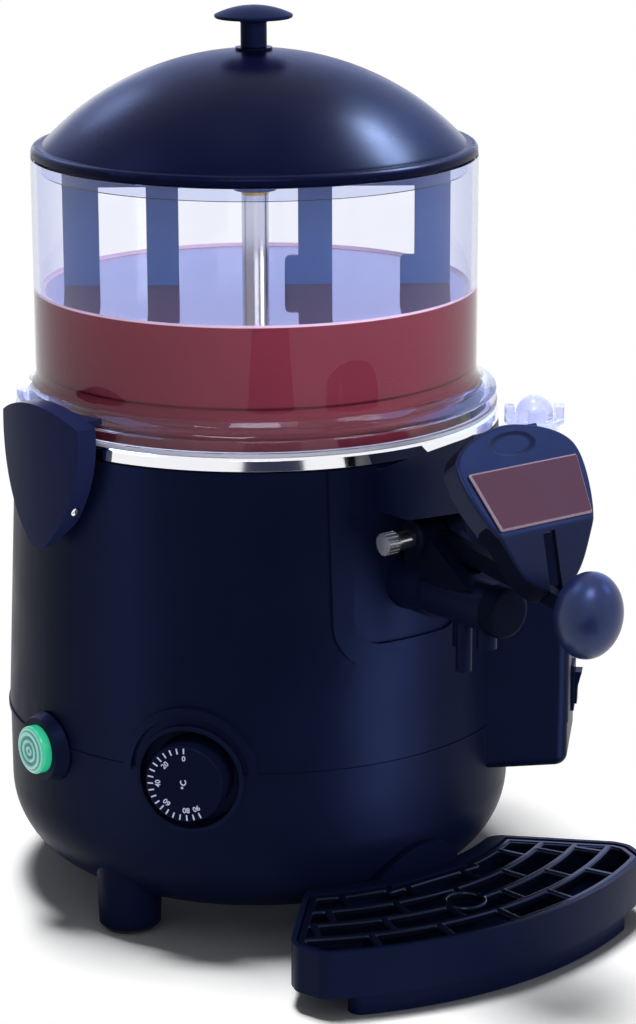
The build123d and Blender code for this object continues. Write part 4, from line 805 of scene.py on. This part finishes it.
@dataclass
class TemperatureDial(SubAssembly):
    """Dial in its recess, with printed marks from 0 to 90.

    Attributes:
        edge: Rounding of the recess in millimetres.
        disc_edge: Rounding of the dial.
        last_mark: Greatest number on the dial.
        mark_step: Step from one mark to the next.
        sweep: Turn from the first mark to the last, anticlockwise, in degrees.
        mark_circle: Radius of the circle through the marks' middles.
        mark_length: Length of a mark.
        mark_width: Width of a mark.
        mark_corner: Corners of a mark over its width.
        numbers: Numbers that are printed.
        number_circle: Radius of the circle of the numbers.
        number_height: Height of the figures.
        unit_turn: Turn of the unit in the middle, anticlockwise, in degrees.
        unit_growth: Height of the unit over that of the figures.
        type_size: Size of the type over the height of its figures.
        boldness: Thickening of the figures over their height.
        ink: Thickness of the print.
    """

    edge: float = 0.6
    disc_edge: float = 0.4
    last_mark: int = 90
    mark_step: int = 5
    sweep: float = 207.0
    mark_circle: float = 17.4
    mark_length: float = 3.0
    mark_width: float = 0.75
    mark_corner: float = 0.3
    numbers: tuple[int, ...] = (0, 20, 40, 60, 80, 90)
    number_circle: float = 13.4
    number_height: float = 2.7
    unit_turn: float = 100.0
    unit_growth: float = 1.15
    type_size: float = 1.4
    boldness: float = 0.03
    ink: float = 0.06

    def build(self) -> None:
        """Rounds the recess and the dial, and prints the marks."""
        self.rounded("dial_cup", "dial_recess", self.edge, BLACK_PLASTIC, Body.MACHINE, Slot.BLACK)
        self.rounded("dial", "dial_disc", self.disc_edge, BODY_PLASTIC, Body.DIAL, Slot.BLACK)
        spot, outward = joint_frame("dial_turn")
        place = facing(spot + outward * reach("dial", spot, outward), outward)
        self.marks(place)
        self.figures(place)

    def turn(self, value: float) -> float:
        """Angle of a value on the dial, from the top and anticlockwise, in radians."""
        return math.radians(self.sweep * value / self.last_mark)

    def marks(self, place: Matrix) -> None:
        """Prints the row of short marks.

        Args:
            place: Frame on the dial's face.
        """
        shape = bmesh.new()
        size = Matrix.Diagonal((self.mark_width * MM, self.mark_length * MM, self.ink * MM, 1.0))
        upright = place.to_3x3() @ Vector((0.0, 0.0, 1.0))
        for value in range(0, self.last_mark + 1, self.mark_step):
            turned = Matrix.Rotation(self.turn(value), 4, "Z")
            outward = Matrix.Translation((0.0, self.mark_circle * MM, self.ink * MM / 2))
            made = bmesh.ops.create_cube(shape, size=1.0, matrix=place @ turned @ outward @ size)
            edges = {edge for vert in made["verts"] for edge in vert.link_edges}
            corners = [edge for edge in edges
                       if abs((edge.verts[1].co - edge.verts[0].co).normalized().dot(upright)) > PARALLEL]
            bmesh.ops.bevel(shape, geom=corners, offset=self.mark_corner * self.mark_width * MM,
                            offset_type="OFFSET", segments=2, profile=0.5, affect="EDGES", material=-1)
        self.piece("dial_marks", shape, PRINT_INK, Body.DIAL)

    def figures(self, place: Matrix) -> None:
        """Prints the numbers inside the marks and the unit in the middle.

        Args:
            place: Frame on the dial's face.
        """
        shape = bmesh.new()
        for value in self.numbers:
            turned = Matrix.Rotation(self.turn(value), 4, "Z")
            outward = Matrix.Translation((0.0, self.number_circle * MM, 0.0))
            self.print_text(shape, str(value), self.number_height, place @ turned @ outward)
        turned = Matrix.Rotation(math.radians(self.unit_turn), 4, "Z")
        self.print_text(shape, "°C", self.number_height * self.unit_growth, place @ turned)
        self.piece("dial_numbers", shape, PRINT_INK, Body.DIAL)

    def print_text(self, shape: bmesh.types.BMesh, words: str, height: float, place: Matrix) -> None:
        """Adds thin raised text to a shape.

        Args:
            shape: Shape that takes the text.
            words: Characters to print.
            height: Height of the figures in millimetres.
            place: Frame of the text's middle.
        """
        curve = bpy.data.curves.new("figures", "FONT")
        curve.body = words
        curve.size = height * MM * self.type_size
        curve.extrude = self.ink * MM / 2
        curve.offset = self.boldness * height * MM
        curve.align_x = "CENTER"
        curve.align_y = "CENTER"
        curve.resolution_u = 3
        holder = bpy.data.objects.new("figures", curve)
        mesh = bpy.data.meshes.new_from_object(holder)
        mesh.transform(place @ Matrix.Translation((0.0, 0.0, self.ink * MM / 2)))
        shape.from_mesh(mesh)
        bpy.data.meshes.remove(mesh)
        bpy.data.objects.remove(holder)
        bpy.data.curves.remove(curve)


@dataclass
class PushButton(SubAssembly):
    """Lit push-button with a ringed lens in a black bezel.

    Attributes:
        bezel_edge: Rounding of the bezel in millimetres.
        radius: Radius of the lens.
        back_corner: Corner at the back of the lens.
        front_corner: Radius of the corner at its front.
        corner_steps: Steps round that corner.
        rings: Raised rings on its face.
        ring_height: How far the rings stand out.
        ring_steps: Steps across a ring.
        face_margin: Width of the plain rim round the face, and of the face round its grooves.
        front_facing: Least forward part of the normal of the face.
        stem: Radius of the stem behind it.
        stem_length: Length of the stem up to the back of the lens.
        steps: Steps round the lens.
    """

    bezel_edge: float = 0.6
    radius: float = 12.4
    back_corner: float = 0.4
    front_corner: float = 2.0
    corner_steps: int = 6
    rings: int = 3
    ring_height: float = 1.2
    ring_steps: int = 8
    face_margin: float = 1.0
    front_facing: float = 0.3
    stem: float = 4.0
    stem_length: float = 11.0
    steps: int = 96

    def build(self) -> None:
        """Makes the ringed lens, with a pale face and grooves darkened as painted shade, and rounds the
        bezel.
        """
        self.rounded("switch_bezel", "button_bezel", self.bezel_edge, BLACK_PLASTIC, Body.MACHINE, Slot.BLACK)
        low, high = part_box("push_button")
        root = Vector((high.x, (low.y + high.y) / 2, (low.z + high.z) / 2))
        length = (high.x - low.x) / MM
        shape = self.turned(self.profile(length), self.steps, facing(root, Vector((-1.0, 0.0, 0.0))))
        lens = self.piece("ringed_lens", shape, LENS_GREEN, Body.BUTTON, Slot.LENS)
        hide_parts("push_button")
        rim = self.radius - self.face_margin
        half_way = root.x - (length - self.ring_height / 2) * MM
        self.repaint(lens, LENS_FACE, lambda face: self.on_face(face, root, rim))
        # Lower faces of the rings take the darker green as painted shade.
        self.repaint(lens, LENS_GROOVE_SHADE, lambda face: face.center.x > half_way
                     and self.on_face(face, root, rim - self.face_margin))

    def profile(self, length: float) -> Profile:
        """Half outline of the lens on its stem, from the root of the stem to the middle of the face.

        Args:
            length: Length of stem and lens in millimetres.

        Returns:
            Points of (radius, height) in millimetres.
        """
        back = self.stem_length
        groove = length - self.ring_height
        inner = self.radius - self.front_corner
        points = [(0.0, 0.0), (self.stem, 0.0), (self.stem, back), (self.radius - self.back_corner, back),
                  (self.radius, back + self.back_corner)]
        for step in range(self.corner_steps + 1):
            turn = math.pi / 2 * step / self.corner_steps
            drop = self.front_corner * (1.0 - math.sin(turn))
            points.append((inner + self.front_corner * math.cos(turn), groove - drop))
        pitch = inner / self.rings
        for step in range(1, self.rings * self.ring_steps + 1):
            share = step / self.ring_steps
            swell = 0.5 - 0.5 * math.cos(math.tau * share)
            points.append((max(inner - pitch * share, 0.0), groove + self.ring_height * swell))
        return points

    def on_face(self, face: bpy.types.MeshPolygon, root: Vector, rim: float) -> bool:
        """Whether a face of the lens is part of its ringed front.

        Args:
            face: Face of the lens.
            root: Point on the axis of the lens.
            rim: Radius in millimetres within which it counts.

        Returns:
            True for such a face.
        """
        return (face.center - root).yz.length < rim * MM and face.normal.x < -self.front_facing


@dataclass
class SideBox(SubAssembly):
    """Rocker and clear filler cap on the side box.

    Attributes:
        edge: Rounding of the rocker and its frame in millimetres.
        cap_edge: Rounding of the clear cap.
    """

    edge: float = 0.35
    cap_edge: float = 0.9

    def build(self) -> None:
        """Rounds the rocker, its frame and the cap."""
        self.rounded("rocker_frame", "rocker_surround", self.edge, BLACK_PLASTIC, Body.MACHINE, Slot.BLACK)
        self.rounded("rocker", "rocker_key", self.edge, BLACK_PLASTIC, Body.ROCKER, Slot.BLACK)
        cap = self.rounded("filler_cap", "clear_filler_cap", self.cap_edge, CAP_PLASTIC, Body.FILLER_CAP,
                           Slot.CLEAR)
        cap.visible_shadow = False


@dataclass
class DripTray(SubAssembly):
    """Curved drip tray with its slotted grille.

    Attributes:
        tray_edge: Rounding of the tray in millimetres.
        bar_edge: Rounding of the grille's bars.
    """

    tray_edge: float = 1.0
    bar_edge: float = 1.3

    def build(self) -> None:
        """Rounds the tray and the grille."""
        self.rounded("drip_tray", "drip_pan", self.tray_edge, BLACK_PLASTIC, Body.TRAY, Slot.BLACK)
        self.rounded("drip_grille", "slotted_grille", self.bar_edge, GRILLE_PLASTIC, Body.GRILLE, Slot.BLACK,
                     clamped=False)


@dataclass(frozen=True)
class Card:
    """Flat panel of the studio that only mirrors see.

    Attributes:
        name: Name of the panel.
        toward: Direction of the panel from the machine.
        width: Its side in metres.
        colour: Light of the panel, linear.
    """

    name: str
    toward: Triple
    width: float
    colour: Colour


@dataclass(frozen=True)
class Softbox:
    """Square soft lamp of the studio.

    Attributes:
        name: Name of the lamp.
        spot: Place of the lamp in metres.
        width: Its side in metres.
        watts: Power of the lamp.
        on_floor: Whether it lights the floor too.
    """

    name: str
    spot: Triple
    width: float
    watts: float
    on_floor: bool = False


@dataclass(frozen=True)
class Streak:
    """Long lamp of the studio that shows only in the gloss of some pieces.

    Attributes:
        name: Name of the lamp.
        pieces: Names of the pieces whose gloss shows it.
        height: Height in metres on the machine's axis that it looks at.
        toward: Direction of the lamp from there.
        along: Direction of its long side.
        size: Its width and length in metres.
        watts: Power of the lamp.
        colour: Tint of its light, linear.
    """

    name: str
    pieces: tuple[str, ...]
    height: float
    toward: Triple
    along: Triple
    size: tuple[float, float]
    watts: float
    colour: Colour


@dataclass
class Studio:
    """Floor, soft lamps, mirror cards, pale surroundings and the camera.

    Attributes:
        floor_radius: Radius of the floor in metres.
        shade_middle: Middle of the floor's shaded patch from the machine's axis, in metres.
        shade_half: Half sizes of that patch, where the machine stands.
        shade_fade: Shares of the half sizes where the floor starts to fade, and where it is plain white.
        paper: Grey level of the floor for the light that it throws back.
        seen_paper: Level of its shaded patch for the eye, so that it meets the white without a step.
        sky: Light of the surroundings on matt surfaces.
        sky_colour: Colour of that light.
        wall_radius: Radius of the wall behind the machine in metres.
        wall_heights: Its lower and upper edge.
        wall_half_turn: Half of its sweep in degrees.
        wall_colour: Light of the wall, linear.
        runner_size: Width and length of the dark runner in metres.
        runner_near: Distance of its near end from the machine's axis.
        runner_lift: Its height over the floor.
        runner_aside: Its turn away from the camera in degrees.
        runner_colour: Light of the runner, linear.
        aim_height: Height in metres that the soft lamps and cards look at.
        card_distance: Distance of cards and streaks from the machine in metres.
        cards: Panels that only mirrors see.
        softboxes: Soft lamps that leave no mirror image.
        streaks: Lamps that only show in the gloss of some pieces.
        camera_spot: Camera's place from the machine's axis in millimetres.
        heading: Turn of the camera from +Y towards +X in degrees.
        pitch: How far the camera looks down in degrees.
        roll: Turn of the camera about its own line of sight in degrees.
        focal: Focal length in pixels of the picture's height.
        picture_height: Height of the picture in pixels.
    """

    floor_radius: float = 12.0
    shade_middle: tuple[float, float] = (0.0, -0.062)
    shade_half: tuple[float, float] = (0.150, 0.178)
    shade_fade: tuple[float, float] = (1.05, 1.32)
    paper: float = 0.97
    seen_paper: float = 1.20
    sky: float = 0.10
    sky_colour: Colour = (0.97, 0.98, 1.0)
    wall_radius: float = 2.6
    wall_heights: tuple[float, float] = (0.72, 2.6)
    wall_half_turn: float = 60.0
    wall_colour: Colour = (0.95, 1.12, 1.95)
    runner_size: tuple[float, float] = (0.50, 2.4)
    runner_near: float = 0.45
    runner_lift: float = 0.003
    runner_aside: float = 8.0
    runner_colour: Colour = (0.035, 0.038, 0.070)
    aim_height: float = 0.22
    card_distance: float = 2.0
    cards: tuple[Card, ...] = (
        Card("lid_card", (0.75, 0.15, 0.64), 0.75, (1.0, 1.5, 3.6)),
        Card("hood_card", (0.56, -0.57, 0.58), 0.70, (2.4, 3.3, 6.6)),
        Card("high_left_card", (-0.53, 0.37, 0.74), 0.80, (2.2, 3.0, 5.5)),
        Card("grip_card", (0.10, 0.82, 0.56), 0.40, (4.5, 5.5, 10.0)),
        Card("left_limb_card", (0.36, 0.92, 0.10), 0.50, (2.6, 2.7, 2.9)),
        Card("right_limb_card", (0.785, 0.615, 0.10), 0.50, (1.7, 1.8, 2.1)),
        Card("camera_card", (-0.43, -0.56, 0.71), 0.70, (11.0, 12.0, 15.0)),
    )
    softboxes: tuple[Softbox, ...] = (
        Softbox("overhead_softbox", (AXIS.x - 0.08, AXIS.y + 0.30, 3.00), 0.80, 92.0, on_floor=True),
        Softbox("front_softbox", (-0.95, -1.60, 0.75), 1.10, 12.0),
        Softbox("right_softbox", (0.75, -1.90, 0.80), 1.00, 26.0),
    )
    streaks: tuple[Streak, ...] = (
        Streak("lid_streak", ("domed_lid",), 0.40, (0.67, -0.09, 0.74), (0.07, -0.45, -0.03), (0.30, 0.76),
               118.0, (0.53, 0.67, 1.0)),
        Streak("right_body_streak", ("upper_shell_moulding", "base_shell_moulding"), 0.18,
               (0.35, -0.91, -0.24), (0.0, 0.0, 1.0), (0.90, 1.20), 146.0, (0.42, 0.52, 1.0)),
        Streak("left_body_streak", ("upper_shell_moulding", "base_shell_moulding"), 0.18,
               (-0.964, 0.169, -0.23), (0.0, 0.0, 1.0), (0.80, 1.20), 52.0, (0.42, 0.52, 1.0)),
    )
    camera_spot: Triple = (-924.9, -1272.98, 627.4)
    heading: float = 37.156
    pitch: float = 15.32
    roll: float = -0.2
    focal: float = 3092.0
    picture_height: float = 1024.0

    def build(self) -> None:
        """Sets up the whole studio."""
        bpy.context.scene.view_settings.view_transform = "Standard"
        self.floor()
        self.surroundings()
        self.back_wall()
        self.dark_runner()
        for card in self.cards:
            self.card(card)
        machine = self.machine_pieces()
        for softbox in self.softboxes:
            self.softbox(softbox, machine)
        for streak in self.streaks:
            self.streak(streak, machine)
        self.camera()

    def staged(self, name: str, shape: bmesh.types.BMesh, material: bpy.types.Material) -> bpy.types.Object:
        """Turns a bmesh into a piece of the studio.

        Args:
            name: Name of the piece.
            shape: Its shape, which is freed here.
            material: Its material.

        Returns:
            The new object.
        """
        mesh = bpy.data.meshes.new(name)
        shape.to_mesh(mesh)
        shape.free()
        mesh.materials.append(material)
        made = bpy.data.objects.new(name, mesh)
        bpy.context.scene.collection.objects.link(made)
        made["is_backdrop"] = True
        return made

    def mirror_only(self, made: bpy.types.Object, through_glass: bool = False) -> None:
        """Hides a piece of the studio from all but mirrors and, where asked, glass.

        Args:
            made: Piece of the studio.
            through_glass: Whether it also shows behind glass.
        """
        made.visible_camera = False
        made.visible_diffuse = False
        made.visible_transmission = through_glass
        made.visible_shadow = False

    def glow(self, name: str, colour: Colour) -> bpy.types.Material:
        """Makes a material that gives plain light.

        Args:
            name: Name of the material.
            colour: Light that it gives, linear.

        Returns:
            The node material.
        """
        made = bpy.data.materials.new(name)
        made.use_nodes = True
        nodes, links = made.node_tree.nodes, made.node_tree.links
        nodes.clear()
        out = nodes.new("ShaderNodeOutputMaterial")
        light = nodes.new("ShaderNodeEmission")
        light.inputs["Color"].default_value = (*colour, 1.0)
        links.new(light.outputs["Emission"], out.inputs["Surface"])
        return made

    def floor(self) -> None:
        """Lays a pale floor that keeps the shadow near the machine and is plain white far from it."""
        shape = bmesh.new()
        bmesh.ops.create_circle(shape, cap_ends=True, segments=96, radius=self.floor_radius)
        self.staged("studio_floor", shape, self.floor_paper())

    def floor_paper(self) -> bpy.types.Material:
        """Makes the floor's paper.

        Returns:
            The node material.
        """
        paper = bpy.data.materials.new("studio_paper")
        paper.use_nodes = True
        nodes, links = paper.node_tree.nodes, paper.node_tree.links
        nodes.clear()
        out = nodes.new("ShaderNodeOutputMaterial")
        matt = nodes.new("ShaderNodeBsdfDiffuse")
        matt.inputs["Color"].default_value = (self.paper, self.paper, self.paper, 1.0)
        seen_matt = nodes.new("ShaderNodeBsdfDiffuse")
        seen_matt.inputs["Color"].default_value = (self.seen_paper, self.seen_paper, self.seen_paper, 1.0)
        white = nodes.new("ShaderNodeEmission")
        place = nodes.new("ShaderNodeTexCoord")
        patch = nodes.new("ShaderNodeMapping")
        patch.vector_type = "TEXTURE"
        patch.inputs["Location"].default_value = AXIS + Vector((*self.shade_middle, 0.0))
        patch.inputs["Scale"].default_value = (*self.shade_half, 1.0)
        links.new(place.outputs["Object"], patch.inputs["Vector"])
        far = nodes.new("ShaderNodeVectorMath")
        far.operation = "LENGTH"
        links.new(patch.outputs["Vector"], far.inputs[0])
        fade = nodes.new("ShaderNodeMapRange")
        fade.interpolation_type = "SMOOTHSTEP"
        fade.inputs["From Min"].default_value, fade.inputs["From Max"].default_value = self.shade_fade
        links.new(far.outputs["Value"], fade.inputs["Value"])
        near_or_far = nodes.new("ShaderNodeMixShader")
        links.new(fade.outputs["Result"], near_or_far.inputs["Fac"])
        links.new(seen_matt.outputs["BSDF"], near_or_far.inputs[1])
        links.new(white.outputs["Emission"], near_or_far.inputs[2])
        mix = nodes.new("ShaderNodeMixShader")
        links.new(self.seen(paper.node_tree), mix.inputs["Fac"])
        links.new(matt.outputs["BSDF"], mix.inputs[1])
        links.new(near_or_far.outputs["Shader"], mix.inputs[2])
        links.new(mix.outputs["Shader"], out.inputs["Surface"])
        return paper

    def seen(self, tree: bpy.types.NodeTree) -> bpy.types.NodeSocket:
        """Adds a test for rays that show a thing to the eye, in a mirror or through glass.

        Args:
            tree: Node tree of the material or the world.

        Returns:
            The socket with the test's result.
        """
        path = tree.nodes.new("ShaderNodeLightPath")
        result = path.outputs["Is Camera Ray"]
        for ray in ("Is Glossy Ray", "Is Transmission Ray"):
            either = tree.nodes.new("ShaderNodeMath")
            either.operation = "MAXIMUM"
            tree.links.new(result, either.inputs[0])
            tree.links.new(path.outputs[ray], either.inputs[1])
            result = either.outputs["Value"]
        return result

    def surroundings(self) -> None:
        """White surroundings for the eye, mirrors and glass, and a plain level of light on the rest."""
        world = bpy.data.worlds.new("studio_surroundings")
        bpy.context.scene.world = world
        world.use_nodes = True
        nodes, links = world.node_tree.nodes, world.node_tree.links
        nodes.clear()
        out = nodes.new("ShaderNodeOutputWorld")
        light = nodes.new("ShaderNodeBackground")
        light.inputs["Color"].default_value = (*self.sky_colour, 1.0)
        light.inputs["Strength"].default_value = self.sky
        white = nodes.new("ShaderNodeBackground")
        white.inputs["Color"].default_value = (1.0, 1.0, 1.0, 1.0)
        white.inputs["Strength"].default_value = 1.0
        mix = nodes.new("ShaderNodeMixShader")
        links.new(self.seen(world.node_tree), mix.inputs["Fac"])
        links.new(light.outputs["Background"], mix.inputs[1])
        links.new(white.outputs["Background"], mix.inputs[2])
        links.new(mix.outputs["Shader"], out.inputs["Surface"])

    def back_wall(self) -> None:
        """Bends a pale blue wall behind the machine, above what the camera sees through the bowl."""
        shape = bmesh.new()
        start = Vector((0.0, self.wall_radius, 0.0))
        start.rotate(Euler((0.0, 0.0, -math.radians(self.heading + self.wall_half_turn))))
        ends = [shape.verts.new(start + Vector((0.0, 0.0, height))) for height in self.wall_heights]
        edge = shape.edges.new(ends)
        bmesh.ops.spin(shape, geom=[*ends, edge], cent=(0.0, 0.0, 0.0), axis=(0.0, 0.0, 1.0),
                       dvec=(0.0, 0.0, 0.0), angle=math.radians(2 * self.wall_half_turn), steps=24)
        wall = self.staged("back_wall", shape, self.glow("back_wall_light", self.wall_colour))
        self.mirror_only(wall, through_glass=True)

    def dark_runner(self) -> None:
        """Lays a dark runner in front of the machine, which only mirrors see."""
        width, length = self.runner_size
        shape = bmesh.new()
        bmesh.ops.create_grid(shape, x_segments=1, y_segments=1, size=0.5)
        bmesh.ops.scale(shape, vec=(width, length, 1.0), verts=shape.verts)
        middle = (0.0, -self.runner_near - length / 2, self.runner_lift)
        bmesh.ops.translate(shape, vec=middle, verts=shape.verts)
        turn = Matrix.Rotation(-math.radians(self.heading - self.runner_aside), 3, "Z")
        bmesh.ops.rotate(shape, cent=(0.0, 0.0, 0.0), matrix=turn, verts=shape.verts)
        bmesh.ops.translate(shape, vec=AXIS, verts=shape.verts)
        cloth = self.glow("dark_runner_cloth", self.runner_colour)
        self.mirror_only(self.staged("dark_runner", shape, cloth))

    def card(self, card: Card) -> None:
        """Hangs a panel that only mirrors see.

        Args:
            card: The panel.
        """
        middle = AXIS + Vector((0.0, 0.0, self.aim_height))
        toward = Vector(card.toward).normalized()
        shape = bmesh.new()
        bmesh.ops.create_grid(shape, x_segments=1, y_segments=1, size=card.width / 2,
                              matrix=facing(middle + toward * self.card_distance, -toward))
        self.mirror_only(self.staged(card.name, shape, self.glow(card.name + "_light", card.colour)))

    def machine_pieces(self) -> bpy.types.Collection:
        """Gathers the machine's pieces for lamps that leave the floor alone.

        Returns:
            The collection of pieces.
        """
        gathered = bpy.data.collections.new("machine_pieces")
        for made in bpy.context.scene.objects:
            if made.type == "MESH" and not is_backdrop(made):
                gathered.objects.link(made)
        return gathered

    def lamp(self, name: str, size: tuple[float, float], watts: float) -> bpy.types.Object:
        """Adds a flat lamp at the origin.

        Args:
            name: Name of the lamp.
            size: Its width and length in metres.
            watts: Its power.

        Returns:
            The lamp.
        """
        data = bpy.data.lights.new(name, "AREA")
        data.shape = "RECTANGLE"
        data.size, data.size_y = size
        data.energy = watts
        lamp = bpy.data.objects.new(name, data)
        bpy.context.scene.collection.objects.link(lamp)
        return lamp

    def softbox(self, softbox: Softbox, machine: bpy.types.Collection) -> None:
        """Adds a soft lamp that looks at the machine and leaves no mirror image.

        Args:
            softbox: The lamp.
            machine: Pieces that it lights where it leaves the floor alone.
        """
        lamp = self.lamp(softbox.name, (softbox.width, softbox.width), softbox.watts)
        lamp.location = softbox.spot
        lamp.visible_glossy = False
        aim = AXIS + Vector((0.0, 0.0, self.aim_height)) - lamp.location
        lamp.rotation_euler = aim.to_track_quat("-Z", "Y").to_euler()
        if not softbox.on_floor:
            lamp.light_linking.receiver_collection = machine

    def streak(self, streak: Streak, machine: bpy.types.Collection) -> None:
        """Adds a long lamp that shows only as a soft streak in the gloss of some pieces.

        Args:
            streak: The lamp.
            machine: Pieces that can stand in its way.
        """
        lamp = self.lamp(streak.name, streak.size, streak.watts)
        lamp.data.color = streak.colour
        outward = Vector(streak.toward).normalized()
        across = Vector(streak.along).cross(outward).normalized()
        place = Matrix((across, outward.cross(across), outward)).transposed().to_4x4()
        place.translation = AXIS + Vector((0.0, 0.0, streak.height)) + outward * self.card_distance
        lamp.matrix_world = place
        lamp.visible_camera = False
        lamp.visible_diffuse = False
        lamp.visible_transmission = False
        shown = bpy.data.collections.new(streak.name + "_pieces")
        for name in streak.pieces:
            shown.objects.link(bpy.data.objects[name])
        lamp.light_linking.receiver_collection = shown
        lamp.light_linking.blocker_collection = machine

    def camera(self) -> None:
        """Places the camera at the photograph's angle."""
        data = bpy.data.cameras.new("photo_camera")
        data.sensor_fit = "VERTICAL"
        data.sensor_height = 36.0
        data.lens = self.focal / self.picture_height * data.sensor_height
        data.clip_end = 100.0
        camera = bpy.data.objects.new("photo_camera", data)
        bpy.context.scene.collection.objects.link(camera)
        place = Matrix.Translation(AXIS + Vector(self.camera_spot) * MM)
        aim = Euler((math.radians(90.0 - self.pitch), 0.0, -math.radians(self.heading))).to_matrix().to_4x4()
        camera.matrix_world = place @ aim @ Matrix.Rotation(math.radians(self.roll), 4, "Z")
        bpy.context.scene.camera = camera


def main() -> None:
    """Builds the machine's looks from the floor up, then the studio."""
    logging.basicConfig(level=logging.INFO, format="%(message)s")
    for assembly in (Housing(), Drive(), BowlAssembly(), Stirrer(), Lid(), Tap(), Hood(), Latches(),
                     TemperatureDial(), PushButton(), SideBox(), DripTray()):
        LOG.info("building %s", type(assembly).__name__)
        assembly.build()
    Studio().build()


if __name__ == "__main__":
    main()
